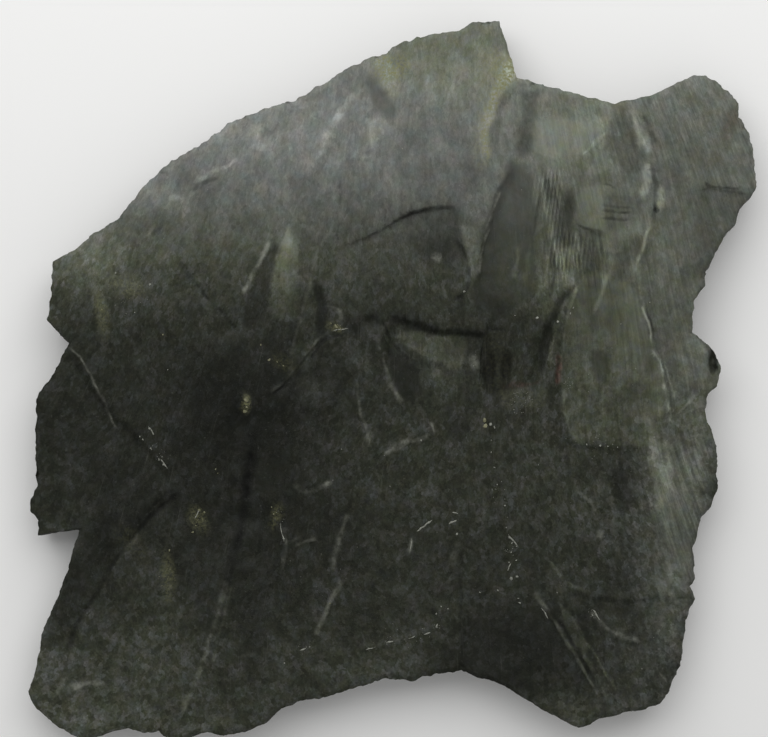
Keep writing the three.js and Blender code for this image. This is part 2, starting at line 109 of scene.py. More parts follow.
# broad ridges and furrows: height of the middle (a furrow is below 0), half-width and path
creases = {
    "west fold": dict(rise=-1.0, width=6, path=[(-55.5, 31), (-49.5, 21.5), (-41, 9.5)]),
    "south fold": dict(rise=-1.4, width=7, path=[(-34.5, -5), (-38, -23.5), (-42, -50)]),
    "long furrow": dict(rise=-0.8, width=1.3, path=[
        (-55.7, -29.2), (-61.7, -33.7), (-68.4, -41.1), (-73.7, -48.2), (-77.6, -55.4), (-82.9, -63.6),
        (-85.9, -71.8)]),
    "open crack": dict(rise=-0.4, width=0.6, path=[
        (-12.7, 12.7), (-18, 11.1), (-20.9, 7.4), (-26, 1.1), (-32.3, -4.2)]),
    "dark slot": dict(rise=-0.7, width=1.5, path=[
        (-19.6, 25.7), (-18.8, 20.1), (-19.1, 14.8), (-20.1, 9.5)]),
    "soft dent by the smooth patch": dict(rise=-0.5, width=2.5, path=[
        (36.6, 72.5), (35.8, 64), (34, 57)]),
    "groove beside the plateau": dict(rise=-1.3, width=1.8, path=[
        (47.7, 25.5), (43.5, 17.5), (40.5, 9.5), (38.7, -1)]),
    "blade": dict(rise=0.6, width=0.9, path=[(-39.8, 22), (-36.6, 27.8), (-34.2, 32.6), (-31.8, 37.1)]),
    "wedge": dict(rise=0.7, width=2.8, path=[(-28.5, 17), (-28.3, 30), (-26.5, 40)]),
    "slot wedge": dict(rise=0.4, width=2.0, path=[(-24.8, 8), (-23, 18), (-21.2, 27)]),
    "curved band": dict(rise=0.45, width=1.8, path=[
        (62.5, 72.5), (66, 64), (69.5, 54), (70, 45.5), (67.5, 38), (63.5, 28)]),
    "right seam": dict(rise=0.35, width=1.2, path=[(65.5, 20), (69, 6), (72, -7), (74, -18)]),
    "reed print, left": dict(rise=-0.4, width=1.1, path=[
        (38.5, -58), (48.5, -75), (54, -85.5), (57, -92)]),
    "reed print, right": dict(rise=-0.35, width=1.2, path=[
        (45.5, -60), (51.5, -69.5), (60, -83), (65, -90)]),
    "cross ridge": dict(rise=0.4, width=1.5, path=[
        (45.5, -55), (53, -56.5), (62, -57.5), (72, -56.5), (80, -58)]),
    "vein": dict(rise=0.3, width=0.8, path=[(-10, -71.5), (2, -68.7), (12, -65)]),
    "dark leaf": dict(rise=-0.5, width=1.8, path=[(-5.6, 78.7), (-2.9, 75), (-0.5, 70.8)]),
}

# raised or sunken spots: centre, half-sizes and turn in degrees, and what they do to the colour
spots = {
    # the two pits' dark tones are painted shade and dirt
    "left pit": dict(at=(25.3, 3), size=(2.1, 8), turn=-3, rise=-0.95, tone=-1.9, rust=0.04),
    "right pit": dict(at=(30, 3.4), size=(1.6, 5.8), turn=0, rise=-0.75, tone=-1.6, rust=0.04),
    # the hollow's dark tone is painted shade
    "hollow in the side bump": dict(at=(84.6, 5), size=(1.3, 4.2), turn=-8, rise=-2.0, tone=-1.0),
    "dent below the plateau": dict(at=(61.5, -29.4), size=(3.7, 8.5), turn=-6, rise=-0.8, tone=-0.9),
    "dent in the triangle": dict(at=(60.5, 62), size=(4.5, 7), turn=10, rise=-0.5),
    "ochre nodule": dict(at=(-38.3, -6.2), size=(1.6, 2.9), turn=-5, rise=1.0, tone=1.0, ochre=0.45),
    "plateau": dict(at=(57, 2), size=(11, 18), rise=0.9),
    "swell above the middle ledge": dict(at=(12, 31), size=(9, 8), rise=0.3),
    "north-west swell": dict(at=(-62, 20), size=(17, 12), rise=0.8),
    "south-west swell": dict(at=(-20, -38), size=(13, 24), rise=0.9),
    "south-east swell": dict(at=(34, -30), size=(14, 20), rise=0.8),
    # the curl's dark tone is painted shade below the upper ledge
    "curl below the upper ledge": dict(at=(13, 35.3), size=(4.6, 4), turn=35, rise=-0.2, tone=-0.6),
    "white smear": dict(at=(21.8, 4.8), size=(1.2, 2.4), turn=-5, pale=0.3),
    "light part by the crack": dict(at=(-21.5, -2.5), size=(4.5, 4.5), tone=0.35, pale=0.04),
    "stem's foot": dict(at=(32, 16), size=(17, 7), tone=-0.3),
    "dark band on the plateau": dict(at=(62, -4.2), size=(2.7, 5.8), turn=55, rise=-0.2, tone=-0.35),
    "dark dot on the band": dict(at=(69.8, 45.2), size=(1.0, 1.2), rise=-0.7, tone=-1.2),
    "middle shade": dict(at=(-37.6, -1.1), size=(27.8, 19.9), tone=-0.6),
    "west shade": dict(at=(-40.8, -28.9), size=(27.8, 39.8), tone=-0.72),
    "left lobe shade": dict(at=(-80, -16), size=(20, 28), tone=-0.25),
    # lighter towards the bottom left
    "lighter bottom-left": dict(at=(-77.9, -81.9), size=(31.8, 19.9), tone=0.35),
    "lighter low left": dict(at=(-62, -62), size=(14, 16), tone=0.3),
    "centre light": dict(at=(12, -18), size=(32, 34), tone=0.3),
    "east light": dict(at=(52, -24), size=(26, 34), tone=0.55),
    "right edge light": dict(at=(75, -31.5), size=(15.9, 39.8), tone=0.95),
    "right side light": dict(at=(72, 2), size=(20, 26), tone=0.05),
    "upper right shade": dict(at=(80, 45), size=(26, 42), tone=-0.45),
    "foot shade": dict(at=(31.8, -72.6), size=(29.2, 16.4), turn=-10, tone=-1.3),
    "peak stain": dict(at=(0, 83), size=(7, 5.5), turn=-20, tone=0.1, ochre=0.5),
    "second peak stain": dict(at=(15, 78), size=(12, 9), tone=0.1, ochre=0.05),
    "corner stain": dict(at=(29.9, 82.4), size=(5.3, 6.9), turn=-25, ochre=0.3, tone=0.3),
    "stain in the crack": dict(at=(-15, 14.2), size=(3, 1.4), turn=15, ochre=0.3),
    "west stain": dict(at=(-70, 25), size=(7, 3), turn=20, ochre=0.22, pale=0.08),
    "second west stain": dict(at=(-76.5, 18), size=(2.2, 8), turn=-10, ochre=0.2, pale=0.04, tone=0.55),
    "furrow stain": dict(at=(-69, -43), size=(4, 8), turn=-40, rust=0.03, ochre=0.06),
    "low stain": dict(at=(-51, -36.5), size=(3, 5), turn=-25, ochre=0.25, tone=0.15),
    "second low stain": dict(at=(-59.5, -52), size=(2.2, 9), turn=-4, ochre=0.2, tone=0.15),
    "centre stain": dict(at=(-30.5, -35.5), size=(1.6, 4.5), turn=15, ochre=0.25, tone=0.1),
    "right lobe stain": dict(at=(89.5, 68), size=(2.5, 6), turn=15, rust=0.1, ochre=0.06, tone=-0.45),
    "lobe margin stain": dict(at=(84, 60), size=(9, 12), ochre=0.06),
    "crack stain": dict(at=(-29, 5), size=(5, 2.5), turn=45, ochre=0.1),
    "light bit on the curl": dict(at=(12.2, 31.8), size=(1.6, 1.4), pale=0.45),
    "margin blotch": dict(at=(-56.2, 48), size=(3.2, 1.3), turn=15, tone=0.35, pale=0.03),
    "second margin blotch": dict(at=(-66.5, 45.1), size=(2.4, 1.6), turn=-10, tone=0.3, pale=0.03),
    "grey knot on the plateau": dict(at=(67.8, 4), size=(2.1, 4), turn=0, tone=-0.5),
    "dark hole at the ledge's end": dict(at=(-5.3, 15.6), size=(4.2, 1.9), turn=20, rise=-0.5, tone=-0.5),
    "pale blotch left of the pits": dict(at=(21.7, 5), size=(1.6, 2.7), tone=0.5, pale=0.08),
    "pale blotch on the light wedge": dict(at=(11.7, 2.1), size=(2.4, 1.9), turn=20, tone=0.4, pale=0.05),
    "pale blotch left of the facet": dict(at=(-6.9, 3.4), size=(2.9, 4.8), tone=0.3, pale=0.03),
    "blotch by the centre line": dict(at=(-6.1, -15.6), size=(1.3, 2.7), turn=15, tone=0.5, pale=0.12),
    "crown light": dict(at=(-23.3, 71.3), size=(34.5, 21.2), tone=0.28),
    "upper left light": dict(at=(-49.6, 50.6), size=(39.8, 19.9), turn=20, tone=0.28),
    "west corner light": dict(at=(-77.4, 34.7), size=(21.2, 15.9), turn=20, tone=0.25),
    "low edge shade": dict(at=(-37.6, -81.9), size=(29.2, 15.9), tone=-0.25),
    "low right light": dict(at=(73.7, -60.7), size=(11.9, 15.9), tone=0.35),
    "plateau top": dict(at=(57.8, 21.5), size=(13.2, 8), tone=-0.25),
    "around the corner line": dict(at=(-81.4, -80.3), size=(11.9, 8), tone=-0.3),
    "plateau's left part": dict(at=(52.5, 0.8), size=(13.8, 24.4), tone=0.28),
    "band's lower part": dict(at=(32.9, 24.9), size=(8, 12.2), tone=0.42),
    "ribs shade": dict(at=(50.4, 44.8), size=(15.4, 16.4), tone=-0.34),
    "east edge light": dict(at=(74.2, -43.5), size=(8.5, 31.8), tone=0.4, smooth=0.4),
    "edge by the whorl": dict(at=(80.6, -10.9), size=(4.8, 8), tone=0.5),
    "shade below the whorl": dict(at=(77.3, -19.2), size=(4, 5.5), tone=-0.4),
    "shade beside the light edge": dict(at=(65.7, -30.7), size=(5, 6), tone=-0.28),
    "shade right of the ribs": dict(at=(64, 34.5), size=(5.5, 5.5), tone=-0.32),
    "shade on the ribs": dict(at=(50, 30), size=(3.5, 5), tone=-0.28),
    "light beside the reed": dict(at=(49.5, 16), size=(3, 5), tone=0.32),
    "dark lower left": dict(at=(-71, -34), size=(10.5, 17), tone=-0.5),
    "dark beside the low streak": dict(at=(-13.8, -42), size=(9, 13), tone=-0.35),
    "dark foot of the low streak": dict(at=(-36.3, -66), size=(5, 15), tone=-0.42),
    "dark right of the fan": dict(at=(-20.9, 18.8), size=(7, 9.5), tone=-0.6),
    "dark end of the crack": dict(at=(-10, 14.5), size=(3, 3), tone=-0.8),
    "dark right of the light wedge": dict(at=(18, 8.2), size=(4, 5), tone=-0.35),
    "dark left of the pits' foot": dict(at=(17.5, -11.7), size=(4, 6), tone=-0.45),
    "dark above the crystals' foot": dict(at=(23.3, -55.4), size=(3.5, 3.5), tone=-0.45),
    "dark above the west ledge": dict(at=(-52.2, 19.3), size=(4, 4), tone=-0.45),
    "dark beside the sliver": dict(at=(33.9, 64.4), size=(4, 6), tone=-0.3),
    "light on the west point": dict(at=(-90.6, 17.5), size=(6, 7), tone=0.5),
    "light on the lower west edge": dict(at=(-86, -42), size=(7, 9), tone=0.45),
    "light beside the iron crust": dict(at=(-34.5, -6.4), size=(5, 3.5), tone=0.45),
    "light above the low vein": dict(at=(12.7, -64.7), size=(7, 8), tone=0.35),
    "light on the low rim": dict(at=(-46.9, -92), size=(8, 5), tone=0.4),
    "light in the crown": dict(at=(-14.3, 51.9), size=(4, 7), tone=0.18),
    "west corner shine": dict(at=(-80, 31), size=(14.3, 13.2), tone=0.66),
    "pits' rusty foot": dict(at=(32.6, -0.8), size=(5.3, 1.6), rust=0.12, tone=-0.1),
    "shade on the top of the plateau": dict(at=(55.7, 18.3), size=(9, 13.8), tone=-0.28),
    "light beside the groove": dict(at=(41.3, 18.3), size=(4.8, 6.4), tone=0.35),
    "light above the middle ledge": dict(at=(11.7, 25.4), size=(9, 6.4), tone=0.15),
    "light by the margin": dict(at=(-60.2, 48.5), size=(12.2, 6.9), turn=25, tone=0.24),
    "dark end of the foot": dict(at=(53.5, -79.8), size=(10.6, 9), tone=-0.45),
}

# areas with a border: softness of the border, path round it, and what they do to the colour and the grain
patches = {
    "stem, smooth band": dict(edge=2.2, tone=-0.5, smooth=0.5, path=[
        (32.6, 57.2), (37.1, 55.4), (38.2, 44), (37.6, 31.5), (36.6, 21.5), (28.6, 17), (21.5, 19.1),
        (21.2, 25.4), (23.3, 33.4), (26.5, 44), (30.7, 57.2)]),
    "stem, grey band": dict(edge=1.5, tone=-0.35, path=[
        (44.8, 49), (48, 49.6), (47.7, 42.1), (47.2, 35.8), (44.5, 34.7), (43.5, 41.1)]),
    "sliver": dict(edge=1.0, tone=0.45, pale=0.04, path=[
        (18, 41.1), (22.8, 40), (23.6, 35.2), (22.3, 28.9), (20.9, 24.1), (19.6, 28.9), (18.6, 35.2)]),
    "ribs": dict(edge=1.5, tone=-0.1, path=[
        (51.4, 40.5), (55.4, 39.5), (56.2, 34.7), (55.1, 29.4), (51.4, 31.5)]),
    "striated field": dict(edge=4, tone=0.15, smooth=0.1, path=[
        (48.5, 52), (65.7, 50.6), (67, 40.5), (55.7, 38.4), (48.5, 42)]),
    "smooth patch": dict(edge=2.0, tone=0.16, smooth=0.5, path=[
        (37.6, 68.6), (43.5, 70), (51.1, 68.9), (55.1, 67), (52.5, 62.3), (49.3, 59.4), (41.3, 59.1),
        (37.1, 61)]),
    "triangle": dict(edge=1.0, tone=-0.42, path=[
        (57.2, 67.6), (61, 72.6), (62.8, 71.8), (64.7, 65.5), (65.7, 58.6), (64.1, 53.8), (61, 55.4),
        (58.3, 58.6), (55.4, 60.7)]),
    "right lobe below its crack": dict(edge=5, tone=-0.25, path=[
        (82.2, 50.6), (97, 50.6), (89, 37.4), (83, 21.5), (78.4, 31.5)]),
    "plateau": dict(edge=1.6, tone=0.36, smooth=0.4, green=0.5, path=[
        (52.5, 29.9), (49, 24.4), (46.4, 19.3), (45.3, 14.3), (44.8, 9), (44.3, 4), (44.5, -1.3),
        (44.8, -6.6), (46.1, -11.9), (47.7, -15.1), (50.4, -17.2), (69.7, -17.5), (72.1, -5),
        (71.5, 0.3), (68.4, 9), (67, 14.8), (65.7, 19.9), (64.1, 24.1), (58.3, 27.8)]),
    # painted shade below the upper ledge
    "below the upper ledge": dict(edge=3, tone=-0.45, path=[
        (2.1, 44), (16.7, 45.3), (18.6, 37.9), (19.6, 31.5), (15.4, 29.4), (9.3, 30.5), (4.2, 35.2)]),
    # the light wedge is lighter rock plus painted light on a face turned to the light
    "light wedge": dict(edge=0.9, tone=0.85, smooth=0.4, green=0.6, path=[
        (1.6, 11.9), (3.2, 13.8), (7.7, 13.2), (12.7, 11.9), (18.6, 12.2), (19.9, 7.7), (18, 3.4),
        (14.3, 4), (10.1, 5.8), (5.8, 8), (3.2, 9.8)]),
    "light wedge's shade": dict(edge=2.5, tone=0.25, path=[
        (5, 9.5), (12.7, 8), (20, 6), (20, -1), (14, -3), (8, 2)]),
    # the dark facet is painted shade on a face turned from the light
    "dark facet": dict(edge=1.0, tone=-0.8, smooth=0.5, path=[
        (-1.6, 8.2), (1.1, 7.4), (4, 5.6), (6.9, 2.4), (7.2, -2.4), (5.3, -6.4), (3.2, -5), (1.1, -1.9),
        (-0.5, 3.4)]),
    "wedge": dict(edge=1.8, tone=0.68, smooth=0.3, green=0.5, path=[
        (-26.8, 40.5), (-25.2, 36), (-24.4, 28.1), (-24.1, 21.5), (-24.4, 16.7), (-31.8, 16.2),
        (-32.6, 20.9), (-31.3, 28.1), (-29.4, 34.7)]),
    "wedge's bright top": dict(edge=1.6, tone=0.15, pale=0.02, path=[
        (-27.3, 40), (-26.2, 35.8), (-27.6, 31.5), (-29.9, 27.8), (-31.8, 24.1), (-31.8, 29.4),
        (-29.9, 34.7)]),
    "shade beside the blade": dict(edge=1.0, tone=-0.6, path=[
        (-31.3, 36.6), (-29.4, 34.7), (-30.7, 28.1), (-32.3, 22.3), (-34.5, 16.7), (-37.6, 13.5),
        (-39.5, 16.2), (-38.2, 21.5), (-35, 28.9)]),
    "slot wedge": dict(edge=1.0, tone=0.6, smooth=0.2, path=[
        (-20.9, 27.8), (-20.1, 23.6), (-19.9, 15.6), (-20.7, 9.5), (-22.3, 3.4), (-27.6, 2.4),
        (-26, 9.5), (-23.6, 19.3)]),
    "shade west of the slot wedge": dict(edge=2, tone=-0.25, path=[
        (-24, 22), (-24, 14), (-28, 5), (-33, 4), (-33, 14), (-26, 15)]),
    "west of the furrow": dict(edge=4, tone=-0.52, path=[
        (-82.7, -39.5), (-64, -31.5), (-77.4, -50.6), (-90.6, -71.3), (-88, -58)]),
    "right light band": dict(edge=4, tone=0.22, streaks=1, smooth=0.4, path=[
        (74.2, -15.6), (82.7, -15.1), (84, -23.6), (81.6, -36.8), (79.5, -51.4), (73.1, -47.4),
        (68.4, -31.5), (70, -27.3), (74.7, -27.3)]),
    "pit sill": dict(edge=1.6, tone=0.2, pale=0.05, ochre=0.06, path=[
        (28.1, -2.9), (37.1, -0.8), (40.5, -1.3), (40, -6.1), (31.8, -7.2), (28.6, -6.1)]),
    "between pit and groove": dict(edge=1.2, tone=0.15, green=0.8, path=[
        (31.5, 9), (36, 9), (37, -1), (30.5, -3)]),
    "dark leaf": dict(edge=1.8, tone=-0.42, smooth=0.3, path=[
        (-7.4, 80), (-4.8, 80.3), (-1.6, 75.5), (1.1, 71), (-0.3, 68.6), (-3.4, 71.3), (-6.1, 75.5)]),
    "below the leaf": dict(edge=1.2, tone=0.4, ochre=0.1, path=[
        (-6.4, 69.2), (-2.4, 69.4), (-1.6, 66.5), (-3.7, 62.3), (-5.8, 61.2)]),
    "leaf margin": dict(edge=2.2, ochre=0.26, tone=0.35, path=[
        (-5.3, 85.1), (0, 85.6), (1.6, 80.8), (1.1, 73.4), (-1.1, 76.1), (-3.7, 80.8)]),
    "ochre margin": dict(edge=3.5, ochre=0.16, tone=0.1, path=[
        (20.7, 91.4), (32.3, 85.1), (33.1, 80.6), (29.4, 76.6), (26.8, 71), (25.2, 65.5), (26.8, 57.2),
        (22.3, 56.4), (21.2, 65.2), (22.5, 75.8)]),
    "ochre fracture": dict(edge=1.4, ochre=0.46, tone=0.5, path=[
        (31.8, 85.1), (33.1, 80.3), (29.4, 76.3), (26.8, 70.8), (25.4, 65.5), (26.2, 59.1),
        (24.4, 58.6), (23.1, 66), (24.6, 72.3), (27.8, 78.7), (29.4, 82.9)]),
    "shade beside the smooth patch": dict(edge=2.0, tone=-0.5, path=[
        (34.2, 76.6), (38.4, 77.1), (37.4, 69.7), (37.1, 60.7), (35, 58.6), (33.1, 61.2),
        (34.2, 69.2)]),
    "band, upper block": dict(edge=0.6, tone=0.75, smooth=0.4, path=[
        (66, 57.8), (68.1, 57.2), (68.4, 53), (67.3, 48.2), (65.5, 48.8)]),
    "band, lower block": dict(edge=0.5, tone=0.85, green=0.3, path=[
        (70, 51.7), (71.8, 51.1), (71.8, 45.8), (70, 45.3)]),
    "grey square": dict(edge=0.5, tone=-0.4, path=[(63.1, 37.6), (66, 37.9), (65.7, 33.7), (63.6, 32.9)]),
    "light block": dict(edge=1.6, tone=0.2, smooth=0.2, path=[
        (48.8, 50.6), (55.4, 51.1), (55.7, 40.5), (53.5, 40.3), (48.5, 41.9)]),
    "dark stripes": dict(edge=1.2, tone=-0.3, path=[
        (55.7, 48.5), (65.7, 49), (65.2, 41.1), (56.4, 39.5)]),
    "light ribs": dict(edge=1.5, tone=0.45, green=0.3, path=[
        (43.5, 34.7), (47.7, 35.5), (48.8, 31.5), (47.7, 25.7), (44.5, 24.1), (42.9, 27.8)]),
    "dark triangle": dict(edge=0.8, tone=-0.5, path=[
        (58.6, 32.6), (62, 34.7), (62.8, 31.5), (60.7, 27.8), (58, 25.7), (57, 24.1), (57.8, 28.9)]),
    "below the plateau": dict(edge=0.8, tone=-0.22, path=[
        (41.3, -0.8), (44, -0.8), (44.5, -6.1), (45.8, -12.2), (47.7, -15.6), (50.4, -17.5),
        (69.7, -17.8), (67.8, -21.5), (67.3, -26.8), (44.5, -27.3), (40.8, -15.6)]),
    # painted shadow in the groove beside the plateau
    "groove beside the plateau": dict(edge=0.8, tone=-0.9, path=[
        (45.6, 23.9), (47.7, 25.2), (44.5, 19.9), (42.7, 15.6), (41.6, 9.5), (40.8, 4), (39.5, 2.4),
        (39, 8.2), (40.8, 16.7), (43.2, 21.5)]),
    "whorl": dict(edge=1.5, tone=-0.3, green=0.4, path=[
        (73.9, -8.2), (77.4, -6.1), (82.7, -7.2), (83.7, -12.5), (79, -14), (74.7, -13.5)]),
    "dust below the plateau": dict(edge=2.2, tone=0.5, smooth=0.4, path=[
        (67.8, -16.2), (73.1, -15.6), (74.7, -21.5), (73.7, -27.3), (68.9, -26.2), (67.3, -21.5)]),
    # painted shade and dirt in the pits
    "pits": dict(edge=2.0, tone=-0.6, ochre=0.04, smooth=0.3, path=[
        (23.9, 11.9), (28.6, 12.7), (30.7, 8.2), (31.3, 1.3), (29.9, -4.5), (27.3, -5.6), (25.4, -4),
        (24.4, 1.3)]),
    "dark strip": dict(edge=0.8, tone=-0.6, path=[
        (-37.1, -11.7), (-34.5, -12.5), (-36, -22.3), (-37.9, -34.2), (-40.3, -46.4), (-42.7, -54.3),
        (-44.5, -53.8), (-42.4, -44.3), (-40.3, -32.9), (-39, -22.3)]),
    "smooth brown bit": dict(edge=0.8, tone=0.1, smooth=0.6, path=[
        (-35.5, -20.4), (-28.4, -19.9), (-28.1, -29.4), (-31.8, -31.5), (-36, -29.4)]),
    "reed, broad band": dict(edge=0.6, tone=0.85, green=0.4, smooth=0.4, path=[
        (44, -58.6), (46.4, -60.4), (49, -65.7), (52.2, -70.8), (51.4, -72.3), (48.2, -69.4),
        (45.3, -64.4)]),
    "sliver, upper part": dict(edge=2, tone=0.15, path=[
        (22.8, 51.1), (28.6, 53.3), (26.5, 46.6), (23.9, 40.5), (19.1, 41.6), (19.6, 46.4)]),
    "stem, right part": dict(edge=5, tone=0.2, green=0.4, path=[
        (40.5, 31.5), (49.8, 29.9), (47.7, 24.1), (43.5, 16.2), (39.2, 13.5), (38.2, 24.1)]),
    "knot on the plateau": dict(edge=0.8, tone=-0.6, smooth=0.3, path=[
        (52.5, 8.2), (56.7, 7.7), (57.2, 2.9), (55.7, -0.8), (53.3, 0), (51.9, 4.5)]),
    "rough margin": dict(edge=5, tone=-0.06, path=[
        (-88, 31.5), (-74.7, 39.5), (-61.5, 46.6), (-52.2, 57.2), (-40.3, 67), (-24.4, 74.5),
        (-11.1, 81.4), (-5.3, 80.8), (-13.8, 75.5), (-24.4, 67.6), (-34.5, 61.2), (-42.9, 53.3),
        (-53.5, 44.3), (-64.1, 37.9), (-74.7, 32.1), (-84.8, 27.8)]),
    # painted shade in the slot
    "slot floor": dict(edge=1.2, tone=-0.65, smooth=0.3, path=[
        (-20.7, 26.2), (-18.8, 25.7), (-17.5, 19.3), (-17.5, 12.5), (-18.8, 8.7), (-20.1, 10.9),
        (-19.6, 17.8)]),
    "below the light block": dict(edge=1.2, tone=-0.36, streaks=1, path=[
        (48.2, 40.8), (55.4, 39.5), (56.7, 34.7), (56.2, 28.4), (54.1, 23.6), (50.6, 24.6),
        (49.3, 31.5)]),
    "band's dark edge": dict(edge=2.2, tone=-0.45, path=[
        (31.3, 58), (33.4, 55.9), (30.5, 50.1), (28.4, 43.7), (26.5, 36.8), (23.6, 35.5), (24.1, 40.5),
        (26.2, 46.6), (28.6, 52.2)]),
    "dark bit beside the ribs": dict(edge=1.0, tone=-0.35, path=[
        (40.8, 51.1), (47.4, 50.6), (48.2, 44.3), (46.6, 37.4), (44.5, 37.4), (45.1, 46.6),
        (40.8, 48.5)]),
}

